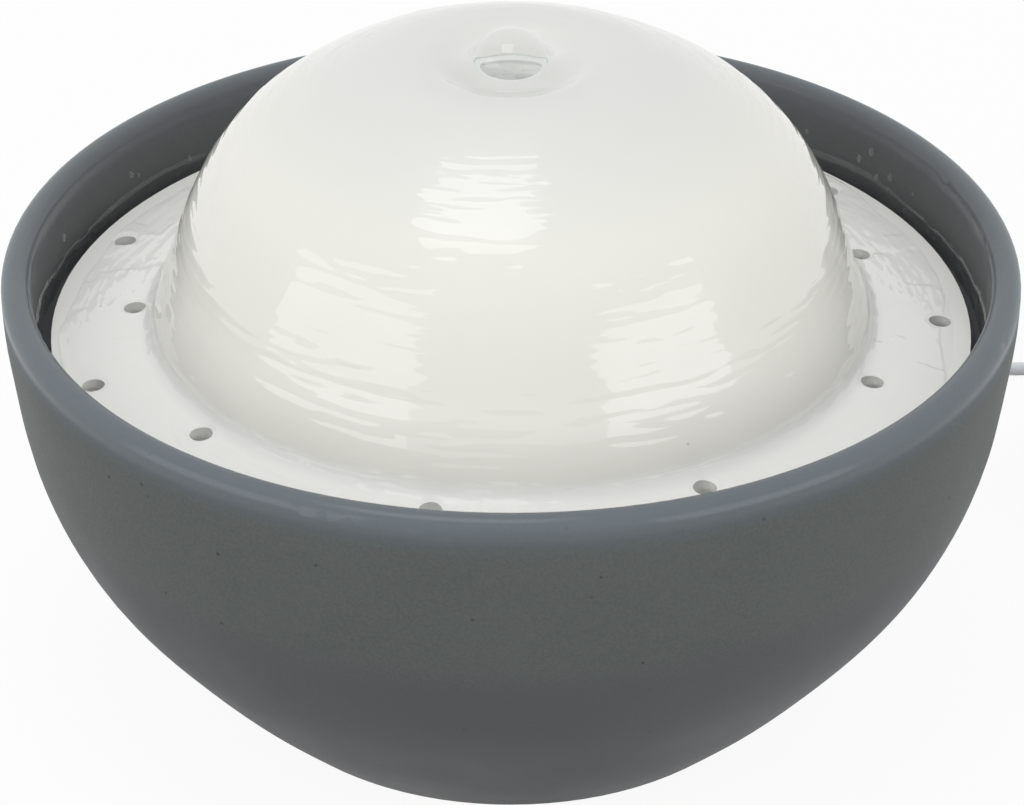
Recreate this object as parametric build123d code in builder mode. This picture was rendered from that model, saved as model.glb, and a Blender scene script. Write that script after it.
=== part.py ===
"""Pet water fountain: a stoneware bowl that holds a white dome, a pump in its filter chamber and a cord.

Millimetres. The origin is on the floor under the middle of the bowl, +Z is up and +Y is the back, where the
cord comes out. The pump lies along Y, so its outlet stands on the bowl's own axis, under the dome's hole.
"""
from build123d import *
from math import cos, pi, radians, sin, tan
import os

os.makedirs("parts", exist_ok=True)

# Fits
seat_gap = 0.2  # between a loose piece and what it rests on
slide_gap = 0.3  # between a loose piece and what guides it
snug_gap = 0.05  # between pieces that are pressed together
overcut = 1.0  # how far a cut runs past the face that it opens

# Bowl
bowl_radius = 135.0
bowl_height = 127.0  # from its base to the top of its lip
bowl_wall = 7.7
bowl_floor = 8.0
bowl_draft = 0.6  # the bore narrows by this from the lip to the ledge
base_edge = 3.0
floor_edge = 14.0
# The side, from the base's edge up to the lip, in shares of the bowl's radius and height.
bowl_side = [(0.556, 0.0), (0.653, 0.106), (0.768, 0.252), (0.866, 0.398),
             (0.932, 0.545), (0.970, 0.691), (0.989, 0.837), (1.0, 1.0)]

# Foot pads
pad_count = 4
pad_radius = 8.0
pad_ring_radius = 58.0
pad_thickness = 3.0
pad_edge = 0.6
pad_recess = 1.5

# Ledge that carries the dome's flange
ledge_depth = 21.7  # below the middle of the lip
ledge_seat = 4.1
ledge_nose = 4.0
ledge_corner = 1.0
ledge_nose_edge = 2.0

# Dome
flange_play = 3.9  # the open ring between the flange and the bowl
flange_thickness = 5.0
flange_edge = 2.2
flange_lower_edge = 0.6
flange_rise = 1.9  # from the rim to the foot of the dome
dome_radius = 96.2
dome_height = 75.1  # from its foot to its crest
dome_wall = 5.5
dome_foot_fillet = 5.0
# The dome, from its foot to its crest, in shares of its radius and height.
dome_side = [(1.0, 0.0), (0.960, 0.141), (0.931, 0.248), (0.898, 0.381), (0.850, 0.514),
             (0.796, 0.621), (0.722, 0.727), (0.607, 0.833), (0.455, 0.935), (0.281, 1.0)]
crater_depth = 4.1
crater_radius = 14.0  # its nearly flat floor
crater_lip = 20.5
drain_radius = 3.0
drain_count = 9  # in each of the two rings
inner_drain_distance = 4.8  # from the dome's foot to the middle of a hole
outer_drain_distance = 8.0  # from the flange's rim to the middle of a hole
inner_drain_angle = 178.6
drain_margin = 0.5
boss_radius = 14.0
boss_length = 14.0

# Outlet sleeve and riser
sleeve_bore = 6.4
sleeve_wall = 1.4
sleeve_flange = 11.0
sleeve_flange_thickness = 2.0
riser_radius = 6.1
riser_bore = 4.9
riser_below_crater = 4.0

# Filter chamber, which stands on the bowl's floor
chamber_width = 66.0
chamber_front = 52.0  # before the bowl's axis
chamber_back = 52.0  # behind it
pump_headroom = 11.0  # from the top of the pump to the chamber's mouth
chamber_wall = 2.0
chamber_corner = 8.0
grille_slots = 7
grille_slot_width = 3.0
grille_pitch = 6.0
grille_margin = 6.0
lid_thickness = 2.5
lid_rib_depth = 4.0
lid_rib_wall = 1.6
lid_grip_height = 6.0
lid_grip_width = 2.4
lid_edge = 0.8
notch_room = 1.0  # around the pump's gland in the chamber's wall

# Filter cartridge
cartridge_width = 55.0
cartridge_thickness = 9.0
cartridge_wall = 2.0
cartridge_bar = 2.0
bar_depth = 1.2
cartridge_corner = 1.6
rail_depth = 4.0
rail_wall = 2.0
fleece_thickness = 1.2
cartridge_tab_width = 22.0
cartridge_tab_height = 6.0
cartridge_tab_thickness = 3.0

# Pump
pump_width = 40.0
pump_height = 34.0
pump_wall = 2.5
pump_front = 10.0  # before the axis
pump_back = 46.0  # behind it
pump_corner = 3.0
cup_height = 5.0
cup_radius = 6.0
cup_stem = 2.2
cup_stem_length = 1.8
cup_spread = 13.0
cup_front = 2.0  # before the axis
cup_back = 38.0
volute_radius = 13.0
volute_back = 4.0
cover_radius = 15.0
cover_thickness = 1.8
seal_thickness = 1.2
spigot_radius = 4.85
spigot_bore = 3.4
spigot_height = 12.0
well_radius = 6.6
well_wall = 1.0
well_end = 25.0
stator_front = 8.0
end_cap_thickness = 2.0

# Motor
core_height = 14.0
core_leg = 7.0
core_gap = 0.3  # between the poles and the rotor well
yoke_front = 33.0
yoke_back = 38.0
bobbin_wall = 0.8
winding_build = 4.4
shaft_radius = 1.0
running_gap = 0.06
bush_radius = 2.4
bush_length = 2.6
magnet_radius = 5.8
magnet_length = 16.0
magnet_front = 7.0
hub_radius = 2.9
impeller_radius = 11.5
impeller_front = 5.6  # before the axis
impeller_back = 2.4  # behind it
blade_count = 6
blade_thickness = 1.2
inlet_radius = 8.5

# Strainer and flow dial
strainer_length = 12.0
strainer_wall = 1.6
strainer_slots = 3  # on each side of the dial
strainer_slot_width = 1.8
strainer_slot_pitch = 3.2
strainer_margin = 2.0  # beyond the slots' ends
clip_length = 8.0
clip_width = 8.0
clip_thickness = 1.2
dial_radius = 9.0
dial_thickness = 1.8
dial_pin = 1.6
dial_margin = 1.5  # from the dial's edge to the first slot
dial_window_ring = 5.4
dial_window = 2.6
dial_window_sweep = 60.0
dial_bar_height = 2.0
dial_bar_width = 1.8

# Cord
cord_radius = 2.1
cable_drop = 34.0  # of the cable hole below the middle of the lip
cable_hole = 6.0
grommet_flange = 8.5
grommet_flange_thickness = 1.8
gland_radius = 4.2
gland_tip = 3.0
gland_length = 8.0
gland_plug = 3.3
gland_flange = 5.0
gland_flange_thickness = 1.5

# The coil of the cord's spare length, which lies on the floor
coil_across = 46.2  # at mid-turns
coil_turns_wide = 4
coil_turns_high = 2
coil_centre = (198.0, 190.0)
coil_run_in = 28.0  # of straight cord before its first turn
coil_enters = -75.0
coil_leaves = 180.0
turn_gap = 0.1
tie_thickness = 0.7
tie_width = 6.0
tie_angle = 40.0

# Wall adapter
adapter_centre = (178.0, 92.0)
adapter_width = 36.0
adapter_length = 60.0
adapter_height = 30.0
adapter_wall = 1.8
adapter_corner = 4.0
adapter_edge = 1.2
pin_radius = 2.0
pin_length = 19.0
pin_root = 7.0
pin_spread = 19.0
board_thickness = 1.6
board_width = 30.0
board_length = 46.0
board_post = 4.0
board_post_radius = 1.6
transformer_width = 18.0
transformer_length = 20.0
transformer_height = 13.0
transformer_corner = 1.0

# Heights and radii that follow from the sizes above
base_z = pad_thickness - pad_recess
lip_radius = bowl_wall / 2
lip_z = base_z + bowl_height - lip_radius
floor_z = base_z + bowl_floor
ledge_z = lip_z - ledge_depth
bore_at_ledge = bowl_radius - bowl_wall - bowl_draft
flange_radius = bore_at_ledge - flange_play
ledge_radius = flange_radius - ledge_seat
inner_drain_circle = dome_radius + inner_drain_distance
outer_drain_circle = flange_radius - outer_drain_distance
flange_under = ledge_z + seat_gap
rim_z = flange_under + flange_thickness
foot_z = rim_z + flange_rise
crest_z = foot_z + dome_height
crater_z = crest_z - crater_depth
sleeve_radius = sleeve_bore + sleeve_wall
sleeve_hole = sleeve_radius + snug_gap

chamber_height = chamber_wall + cup_height + pump_height + pump_headroom
chamber_z = floor_z
inside_z = chamber_z + chamber_wall
chamber_top = chamber_z + chamber_height
chamber_length = chamber_front + chamber_back
chamber_middle = (chamber_back - chamber_front) / 2
pump_z = inside_z + cup_height
pump_top = pump_z + pump_height
axis_z = pump_z + pump_height / 2
cord_bore = cord_radius + snug_gap
cable_z = lip_z - cable_drop


def on_bowl(shares):
    return [(bowl_radius * r, base_z + (lip_z - base_z) * h) for r, h in shares]


def inset(points, wall):
    """The points moved by the wall to the left of the outline that runs through them."""
    moved = []
    for i, (r, z) in enumerate(points):
        before, after = points[max(i - 1, 0)], points[min(i + 1, len(points) - 1)]
        along = Vector(after[0] - before[0], after[1] - before[1]).normalized()
        moved.append((r - wall * along.Y, z + wall * along.X))
    return moved


def radius_at(points, height):
    """The outline's radius at a height, straight between its points."""
    for (r1, z1), (r2, z2) in zip(points, points[1:]):
        if z1 <= height <= z2:
            return r1 + (r2 - r1) * (height - z1) / (z2 - z1)
    raise ValueError("the height is off the outline")


def facing_back(y, x=0.0, z=0.0):
    """A plane across Y: an extrusion from it goes to +Y, and its own Y is up."""
    return Plane(origin=(x, y, z), x_dir=(-1, 0, 0), z_dir=(0, 1, 0))


def corner_radii(route):
    """For each inner point of a cord's route, an arc as large as the two runs beside it allow."""
    points = [Vector(*p) for p in route]
    radii = []
    for a, b, c in zip(points, points[1:], points[2:]):
        turn = (b - a).get_angle(c - b)
        shorter = min((b - a).length, (c - b).length)
        radii.append(0.45 * shorter / tan(radians(turn) / 2))
    return radii


def print_radii(name, route):
    print(name, "radii", [round(r, 1) for r in corner_radii(route)])


# ---------------------------------------------------------------- bowl
outer_side = on_bowl(bowl_side)
inner_side = [p for p in inset(outer_side, bowl_wall) if floor_z < p[1] < ledge_z - ledge_nose - bowl_wall]
base_radius = outer_side[0][0]
spot_radius = grommet_flange + slide_gap
spot_out = radius_at(outer_side, cable_z - spot_radius) - bowl_draft
spot_in = radius_at(inner_side + [(ledge_radius, ledge_z)], cable_z - spot_radius) + slide_gap

with BuildPart() as bowl:
    with BuildSketch(Plane.XZ) as bowl_section:
        with BuildLine():
            Spline(*outer_side, tangents=[(1, 1), (0, 1)])
            ThreePointArc((bowl_radius, lip_z), (bowl_radius - lip_radius, lip_z + lip_radius),
                          (bowl_radius - bowl_wall, lip_z))
            Polyline((bowl_radius - bowl_wall, lip_z), (bore_at_ledge, ledge_z), (ledge_radius, ledge_z),
                     (ledge_radius, ledge_z - ledge_nose), inner_side[-1])
            Spline(*reversed(inner_side))
            Polyline(inner_side[0], (inner_side[0][0] - bowl_wall, floor_z), (0, floor_z), (0, base_z),
                     (base_radius, base_z))
        make_face()
        corners = bowl_section.vertices()
        fillet(corners.sort_by_distance((base_radius, base_z))[0], base_edge)
        fillet(corners.sort_by_distance((bore_at_ledge, ledge_z))[0], ledge_corner)
        fillet(corners.sort_by_distance((ledge_radius, ledge_z - ledge_nose))[0], ledge_nose_edge)
        fillet(corners.sort_by_distance((inner_side[0][0] - bowl_wall, floor_z))[0], floor_edge / 2)
    revolve(axis=Axis.Z)
    with BuildSketch(Plane.XY.offset(base_z)):
        with PolarLocations(pad_ring_radius, pad_count):
            Circle(pad_radius + snug_gap)
    extrude(amount=pad_recess, mode=Mode.SUBTRACT)
    with BuildSketch(facing_back(spot_in - bowl_radius / 4, z=cable_z)):
        Circle(spot_radius)
    extrude(amount=bowl_radius / 4, mode=Mode.SUBTRACT)
    with BuildSketch(facing_back(spot_out, z=cable_z)):
        Circle(spot_radius)
    extrude(amount=bowl_radius / 4, mode=Mode.SUBTRACT)
    with BuildSketch(facing_back(spot_in - overcut, z=cable_z)):
        Circle(cable_hole + snug_gap)
    extrude(amount=spot_out - spot_in + 2 * overcut, mode=Mode.SUBTRACT)
bowl.part.label = "bowl"

with BuildPart() as foot_pads:
    with BuildSketch():
        with PolarLocations(pad_ring_radius, pad_count):
            Circle(pad_radius)
    extrude(amount=pad_thickness)
    fillet(foot_pads.edges().group_by(Axis.Z)[0], pad_edge)
foot_pads.part.label = "foot_pads"

with BuildPart() as cable_grommet:
    with BuildSketch(facing_back(spot_in - grommet_flange_thickness, z=cable_z)):
        Circle(grommet_flange)
    extrude(amount=grommet_flange_thickness)
    with BuildSketch(facing_back(spot_in, z=cable_z)):
        Circle(cable_hole)
    extrude(amount=spot_out - spot_in)
    with BuildSketch(facing_back(spot_out, z=cable_z)):
        Circle(grommet_flange)
    extrude(amount=grommet_flange_thickness)
    fillet(cable_grommet.edges().group_by(Axis.Y)[-1], 0.7)
    fillet(cable_grommet.edges().group_by(Axis.Y)[0], 0.7)
    with BuildSketch(facing_back(spot_in - 2 * grommet_flange_thickness, z=cable_z)):
        Circle(cord_bore)
    extrude(amount=spot_out - spot_in + 4 * grommet_flange_thickness, mode=Mode.SUBTRACT)
cable_grommet.part.label = "cable_grommet"

# ---------------------------------------------------------------- dome
dome_outer = [(dome_radius * r, foot_z + dome_height * h) for r, h in dome_side]
dome_inner = inset(dome_outer, dome_wall)[1:]
crater = [(crater_lip, crest_z - crater_depth * 0.2),
          ((crater_lip + crater_radius) / 2, crest_z - crater_depth * 0.62),
          (crater_radius, crater_z + crater_depth * 0.08), (sleeve_hole, crater_z)]
boss_z = dome_inner[-1][1] - boss_length
gutter_radius = outer_drain_circle + drain_radius + drain_margin  # flat from here to the rim

with BuildPart() as fountain_dome:
    with BuildSketch(Plane.YZ) as dome_section:  # its seam, at the back, misses every hole
        with BuildLine():
            Polyline((flange_radius, rim_z), (gutter_radius, rim_z), (dome_radius, foot_z))
            Spline(*dome_outer, *crater)
            Polyline((sleeve_hole, crater_z), (sleeve_hole, boss_z), (boss_radius, boss_z),
                     (boss_radius, dome_inner[-1][1]), dome_inner[-1])
            Spline(*reversed(dome_inner), (dome_radius - dome_wall, flange_under))
            Polyline((dome_radius - dome_wall, flange_under), (flange_radius, flange_under),
                     (flange_radius, rim_z))
        make_face()
        corners = dome_section.vertices()
        fillet(corners.sort_by_distance((dome_radius, foot_z))[0], dome_foot_fillet)
        fillet(corners.sort_by_distance((flange_radius, rim_z))[0], flange_edge)
        fillet(corners.sort_by_distance((flange_radius, flange_under))[0], flange_lower_edge)
    revolve(axis=Axis.Z)
    with BuildSketch(Plane.XY.offset(flange_under - overcut)):
        with PolarLocations(inner_drain_circle, drain_count, start_angle=inner_drain_angle):
            Circle(drain_radius)
        with PolarLocations(outer_drain_circle, drain_count, start_angle=inner_drain_angle - 180 / drain_count):
            Circle(drain_radius)
    extrude(amount=flange_thickness + flange_rise + dome_foot_fillet, mode=Mode.SUBTRACT)
fountain_dome.part.label = "fountain_dome"

with BuildPart() as outlet_sleeve:
    with BuildSketch(Plane.XY.offset(boss_z - sleeve_flange_thickness)):
        Circle(sleeve_flange)
        Circle(sleeve_bore, mode=Mode.SUBTRACT)
    extrude(amount=sleeve_flange_thickness)
    with BuildSketch(Plane.XY.offset(boss_z)):
        Circle(sleeve_radius)
        Circle(sleeve_bore, mode=Mode.SUBTRACT)
    extrude(amount=crater_z - slide_gap - boss_z)
outlet_sleeve.part.label = "outlet_sleeve"

riser_foot = pump_top + seat_gap
riser_top = crater_z - riser_below_crater
with BuildPart() as riser_tube:
    with BuildSketch(Plane.XY.offset(riser_foot)):
        Circle(riser_radius)
        Circle(riser_bore, mode=Mode.SUBTRACT)
    extrude(amount=riser_top - riser_foot)
riser_tube.part.label = "riser_tube"

# ---------------------------------------------------------------- filter chamber
inner_width = chamber_width - 2 * chamber_wall
inner_length = chamber_length - 2 * chamber_wall
inner_corner = chamber_corner - chamber_wall
inner_front = -chamber_front + chamber_wall
cartridge_front = inner_front + slide_gap
cartridge_back = cartridge_front + cartridge_thickness
cartridge_middle = (cartridge_front + cartridge_back) / 2
rail_front = cartridge_back + slide_gap
rail_side = cartridge_width / 2 + slide_gap

with BuildPart() as pump_chamber:
    with BuildSketch(Plane.XY.offset(chamber_z)):
        with Locations((0, chamber_middle)):
            RectangleRounded(chamber_width, chamber_length, chamber_corner)
    extrude(amount=chamber_height)
    with BuildSketch(Plane.XY.offset(inside_z)):
        with Locations((0, chamber_middle)):
            RectangleRounded(inner_width, inner_length, inner_corner)
    extrude(amount=chamber_height, mode=Mode.SUBTRACT)
    with BuildSketch(Plane.XY.offset(chamber_z + chamber_wall / 2)):  # an L-shaped rail at each side
        for side in (-1, 1):
            with Locations((side * (rail_side + inner_width / 2 + 0.5) / 2, (inner_front + rail_front) / 2)):
                Rectangle(inner_width / 2 + 0.5 - rail_side, rail_front - inner_front + 1)
            with Locations((side * (rail_side - rail_depth + inner_width / 2 + 0.5) / 2,
                            rail_front + rail_wall / 2)):
                Rectangle(inner_width / 2 + 0.5 - rail_side + rail_depth, rail_wall)
    extrude(amount=chamber_height - chamber_wall / 2 - lid_rib_depth)
    with BuildSketch(facing_back(-chamber_front - overcut, z=chamber_z + chamber_height / 2)):
        with GridLocations(grille_pitch, 1, grille_slots, 1):
            SlotOverall(chamber_height - 2 * grille_margin, grille_slot_width, rotation=90)
    extrude(amount=chamber_wall + 1.5 * overcut, mode=Mode.SUBTRACT)
    notch = gland_radius + slide_gap + notch_room
    with BuildSketch(facing_back(chamber_back - chamber_wall - overcut)):
        with Locations((0, axis_z)):
            Circle(notch)
        with Locations((0, (axis_z + chamber_top + overcut) / 2)):
            Rectangle(2 * notch, chamber_top + overcut - axis_z)
    extrude(amount=chamber_wall + 2 * overcut, mode=Mode.SUBTRACT)
pump_chamber.part.label = "pump_chamber"

lid_z = chamber_top + seat_gap
lid_top = lid_z + lid_thickness
rib_front = rail_front + rail_wall + slide_gap
rib_back = chamber_back - chamber_wall - slide_gap
rib_length = rib_back - rib_front
rib_width = inner_width - 2 * slide_gap
with BuildPart() as chamber_lid:
    with BuildSketch(Plane.XY.offset(lid_z)):
        with Locations((0, chamber_middle)):
            RectangleRounded(chamber_width, chamber_length, chamber_corner)
    extrude(amount=lid_thickness)
    fillet(chamber_lid.edges().group_by(Axis.Z)[-1], lid_edge)
    with BuildSketch(Plane.XY.offset(lid_z - lid_rib_depth)):
        with Locations((0, (rib_front + rib_back) / 2)):
            RectangleRounded(rib_width, rib_length, inner_corner)
            RectangleRounded(rib_width - 2 * lid_rib_wall, rib_length - 2 * lid_rib_wall,
                             inner_corner - lid_rib_wall, mode=Mode.SUBTRACT)
    extrude(amount=lid_rib_depth)
    with BuildSketch(Plane.XY.offset(lid_top)):  # two ribs to lift it by
        with GridLocations(chamber_width - 4 * chamber_wall, 1, 2, 1):
            RectangleRounded(lid_grip_width, chamber_length / 4, lid_grip_width / 2.2)
    extrude(amount=lid_grip_height)
    with BuildSketch(Plane.XY.offset(lid_z - lid_rib_depth - overcut)):
        Circle(riser_radius + slide_gap)
        with Locations((0, cartridge_middle)):
            Rectangle(cartridge_width + 2 * slide_gap, cartridge_thickness + 2 * slide_gap)
    extrude(amount=lid_rib_depth + lid_thickness + 2 * overcut, mode=Mode.SUBTRACT)
chamber_lid.part.label = "chamber_lid"

# ---------------------------------------------------------------- filter cartridge
cartridge_z = inside_z + seat_gap
cartridge_height = lid_top - cartridge_z
fill_width = cartridge_width - 2 * cartridge_wall
fill_height = cartridge_height - 2 * cartridge_wall
cartridge_mid_z = cartridge_z + cartridge_height / 2
window_pitch = (fill_width + cartridge_bar) / 3
window_rise = (fill_height + cartridge_bar) / 2
with BuildPart() as filter_frame:
    with BuildSketch(facing_back(cartridge_front, z=cartridge_mid_z)):
        Rectangle(cartridge_width, cartridge_height)
    extrude(amount=cartridge_thickness)
    fillet(filter_frame.edges().filter_by(Axis.Z), cartridge_corner)
    with BuildSketch(facing_back(cartridge_front + bar_depth, z=cartridge_mid_z)):
        Rectangle(fill_width, fill_height)
    extrude(amount=cartridge_thickness - 2 * bar_depth, mode=Mode.SUBTRACT)
    with BuildSketch(facing_back(cartridge_front - overcut, z=cartridge_mid_z)):
        with GridLocations(window_pitch, window_rise, 3, 2):
            Rectangle(window_pitch - cartridge_bar, window_rise - cartridge_bar)
    extrude(amount=cartridge_thickness + 2 * overcut, mode=Mode.SUBTRACT)
    with BuildSketch(Plane.XY.offset(lid_top)):
        with Locations((0, cartridge_middle)):
            Rectangle(cartridge_tab_width, cartridge_tab_thickness)
    extrude(amount=cartridge_tab_height)
filter_frame.part.label = "filter_frame"

fleece_front = cartridge_front + bar_depth + snug_gap
fleece_back = cartridge_back - bar_depth - snug_gap - fleece_thickness
with BuildPart() as filter_fleece:
    for face in (fleece_front, fleece_back):
        with BuildSketch(facing_back(face, z=cartridge_mid_z)):
            Rectangle(fill_width - 2 * snug_gap, fill_height - 2 * snug_gap)
        extrude(amount=fleece_thickness)
filter_fleece.part.label = "filter_fleece"

carbon_front = fleece_front + fleece_thickness + snug_gap
with BuildPart() as carbon_fill:
    with BuildSketch(facing_back(carbon_front, z=cartridge_mid_z)):
        Rectangle(fill_width - 4 * snug_gap, fill_height - 4 * snug_gap)
    extrude(amount=fleece_back - snug_gap - carbon_front)
carbon_fill.part.label = "carbon_fill"

# ---------------------------------------------------------------- pump housing
recess_back = -pump_front + cover_thickness + seal_thickness
well_outer = well_radius + well_wall
cavity_width = pump_width - 2 * pump_wall
cavity_height = pump_height - 2 * pump_wall
cup_places = [(side * cup_spread, y) for side in (-1, 1) for y in (-cup_front, cup_back)]

with BuildPart() as pump_housing:
    with BuildSketch(facing_back(-pump_front, z=axis_z)):
        RectangleRounded(pump_width, pump_height, pump_corner)
    extrude(amount=pump_front + pump_back)
    with BuildSketch(Plane.XY.offset(axis_z)):
        Circle(spigot_radius)
    extrude(amount=pump_height / 2 + spigot_height)
    with BuildSketch(facing_back(-pump_front, z=axis_z)):
        Circle(cover_radius)
    extrude(amount=recess_back + pump_front, mode=Mode.SUBTRACT)
    with BuildSketch(facing_back(recess_back, z=axis_z)):
        Circle(volute_radius)
    extrude(amount=volute_back - recess_back, mode=Mode.SUBTRACT)
    with BuildSketch(facing_back(volute_back, z=axis_z)):
        Circle(well_radius)
    extrude(amount=well_end - volute_back, mode=Mode.SUBTRACT)
    with BuildSketch(Plane.XY.offset(axis_z)):
        Circle(spigot_bore)
    extrude(amount=pump_height / 2 + spigot_height + overcut, mode=Mode.SUBTRACT)
    with BuildSketch(facing_back(stator_front, z=axis_z)):
        Rectangle(cavity_width, cavity_height)
        Circle(well_outer, mode=Mode.SUBTRACT)
    extrude(amount=well_end + well_wall - stator_front, mode=Mode.SUBTRACT)
    with BuildSketch(facing_back(well_end + well_wall, z=axis_z)):
        Rectangle(cavity_width, cavity_height)
    extrude(amount=pump_back - well_end, mode=Mode.SUBTRACT)
    with BuildSketch(Plane.XY.offset(pump_z)):
        with Locations(*cup_places):
            Circle(cup_stem + snug_gap)
    extrude(amount=cup_stem_length + snug_gap, mode=Mode.SUBTRACT)
pump_housing.part.label = "pump_housing"

with BuildPart() as suction_cups:
    with BuildSketch(Plane.XZ):
        with BuildLine():
            Polyline((0, inside_z + 1.4), (cup_radius - 0.8, inside_z), (cup_radius, inside_z),
                     (cup_radius, inside_z + 0.6), (cup_stem + 1, inside_z + 3), (cup_stem + 1, pump_z),
                     (cup_stem, pump_z), (cup_stem, pump_z + cup_stem_length), (0, pump_z + cup_stem_length),
                     close=True)
        make_face()
    revolve(axis=Axis.Z)
one_cup = suction_cups.part
with BuildPart() as suction_cups:
    with Locations(*[(x, y, 0) for x, y in cup_places]):
        add(one_cup)
suction_cups.part.label = "suction_cups"

with BuildPart() as motor_end_cap:
    with BuildSketch(facing_back(pump_back - end_cap_thickness, z=axis_z)):
        Rectangle(cavity_width - 2 * snug_gap, cavity_height - 2 * snug_gap)
        Circle(gland_plug + snug_gap, mode=Mode.SUBTRACT)
    extrude(amount=end_cap_thickness)
motor_end_cap.part.label = "motor_end_cap"

gland_end = pump_back + gland_flange_thickness + gland_length
with BuildPart() as pump_gland:
    with BuildSketch(facing_back(pump_back - end_cap_thickness, z=axis_z)):
        Circle(gland_plug)
    extrude(amount=end_cap_thickness)
    with BuildSketch(facing_back(pump_back, z=axis_z)):
        Circle(gland_flange)
    extrude(amount=gland_flange_thickness)
    with BuildSketch(facing_back(pump_back + gland_flange_thickness, z=axis_z)):
        Circle(gland_radius)
    with BuildSketch(facing_back(gland_end, z=axis_z)):
        Circle(gland_tip)
    loft()
    with BuildSketch(facing_back(pump_back - end_cap_thickness - overcut, z=axis_z)):
        Circle(cord_bore)
    extrude(amount=gland_end - pump_back + end_cap_thickness + 2 * overcut, mode=Mode.SUBTRACT)
pump_gland.part.label = "pump_gland"

# ---------------------------------------------------------------- motor
leg_inner = well_outer + core_gap
leg_outer = leg_inner + core_leg
core_z = axis_z - core_height / 2
with BuildPart() as stator_core:
    with BuildSketch(Plane.XY.offset(core_z)):
        for side in (-1, 1):
            with Locations((side * (leg_inner + leg_outer - 1) / 2, (stator_front + seat_gap + yoke_back) / 2)):
                Rectangle(core_leg + 1, yoke_back - stator_front - seat_gap)
        with Locations((0, (yoke_front + yoke_back) / 2)):
            Rectangle(2 * leg_inner, yoke_back - yoke_front)
    extrude(amount=core_height)
    with BuildSketch(facing_back(stator_front - overcut, z=axis_z)):
        Circle(leg_inner)
    extrude(amount=well_end + well_wall - stator_front + overcut, mode=Mode.SUBTRACT)
stator_core.part.label = "stator_core"

# The bobbin sits on the yoke, between the legs.
bobbin_half = leg_inner - 1 - slide_gap
yoke_middle = (yoke_front + yoke_back) / 2
yoke_depth = yoke_back - yoke_front
tube_depth = yoke_depth + 2 * (snug_gap + bobbin_wall)
tube_height = core_height + 2 * (snug_gap + bobbin_wall)
across_yoke = Plane(origin=(0, yoke_middle, axis_z), x_dir=(0, 1, 0), z_dir=(1, 0, 0))
with BuildPart() as coil_bobbin:
    with BuildSketch(across_yoke):
        Rectangle(tube_depth, tube_height)
    extrude(amount=bobbin_half, both=True)
    for side in (-1, 1):
        with BuildSketch(across_yoke.offset(side * (bobbin_half - bobbin_wall / 2))):
            Rectangle(tube_depth + 2 * winding_build, tube_height + 2 * winding_build)
        extrude(amount=bobbin_wall / 2, both=True)
    with BuildSketch(across_yoke):
        Rectangle(yoke_depth + 2 * snug_gap, core_height + 2 * snug_gap)
    extrude(amount=bobbin_half + overcut, both=True, mode=Mode.SUBTRACT)
coil_bobbin.part.label = "coil_bobbin"

with BuildPart() as coil_winding:
    with BuildSketch(across_yoke):
        RectangleRounded(tube_depth + 2 * winding_build - 0.4, tube_height + 2 * winding_build - 0.4, 2.5)
        Rectangle(tube_depth + 2 * snug_gap, tube_height + 2 * snug_gap, mode=Mode.SUBTRACT)
    extrude(amount=bobbin_half - bobbin_wall - snug_gap, both=True)
coil_winding.part.label = "coil_winding"

# ---------------------------------------------------------------- rotor and impeller
shaft_bore = shaft_radius + running_gap
bush_front = -pump_front + 0.4
magnet_back = magnet_front + magnet_length
with BuildPart() as impeller:
    with BuildSketch(facing_back(-impeller_front, z=axis_z)):
        Circle(hub_radius + 1)
        for i in range(blade_count):
            with Locations(Location((0, 0), 360 * i / blade_count)):
                Rectangle(impeller_radius, blade_thickness, align=(Align.MIN, Align.CENTER))
    extrude(amount=impeller_front + impeller_back)
    with BuildSketch(facing_back(impeller_back, z=axis_z)):
        Circle(hub_radius + 2)
    extrude(amount=magnet_front - snug_gap - impeller_back)
    with BuildSketch(facing_back(magnet_front - 1, z=axis_z)):
        Circle(hub_radius)
    extrude(amount=magnet_length + 1)
    with BuildSketch(facing_back(-pump_front, z=axis_z)):
        Circle(shaft_bore)
    extrude(amount=pump_front + well_end, mode=Mode.SUBTRACT)
impeller.part.label = "impeller"

with BuildPart() as rotor_magnet:
    with BuildSketch(facing_back(magnet_front, z=axis_z)):
        Circle(magnet_radius)
        Circle(hub_radius + snug_gap, mode=Mode.SUBTRACT)
    extrude(amount=magnet_length)
rotor_magnet.part.label = "rotor_magnet"

with BuildPart() as impeller_shaft:
    with BuildSketch(facing_back(bush_front + 0.2, z=axis_z)):
        Circle(shaft_radius)
    extrude(amount=well_end - snug_gap - bush_front - 0.2)
impeller_shaft.part.label = "impeller_shaft"

bush_starts = (bush_front, well_end - bush_length / 2 - snug_gap)
with BuildPart() as shaft_bushes:
    for start, length in zip(bush_starts, (bush_length, bush_length / 2)):
        with BuildSketch(facing_back(start, z=axis_z)):
            Circle(bush_radius)
            Circle(shaft_radius + snug_gap, mode=Mode.SUBTRACT)
        extrude(amount=length)
shaft_bushes.part.label = "shaft_bushes"

spider_hub = bush_radius + 1.6
with BuildPart() as impeller_cover:
    with BuildSketch(facing_back(-pump_front, z=axis_z)):
        Circle(cover_radius - snug_gap)
        Circle(inlet_radius, mode=Mode.SUBTRACT)
        Circle(spider_hub)
        with PolarLocations(0, 3, start_angle=90):
            Rectangle(inlet_radius + 1, 1.6, align=(Align.MIN, Align.CENTER))
        Circle(bush_radius + snug_gap, mode=Mode.SUBTRACT)
    extrude(amount=cover_thickness)
impeller_cover.part.label = "impeller_cover"

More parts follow.
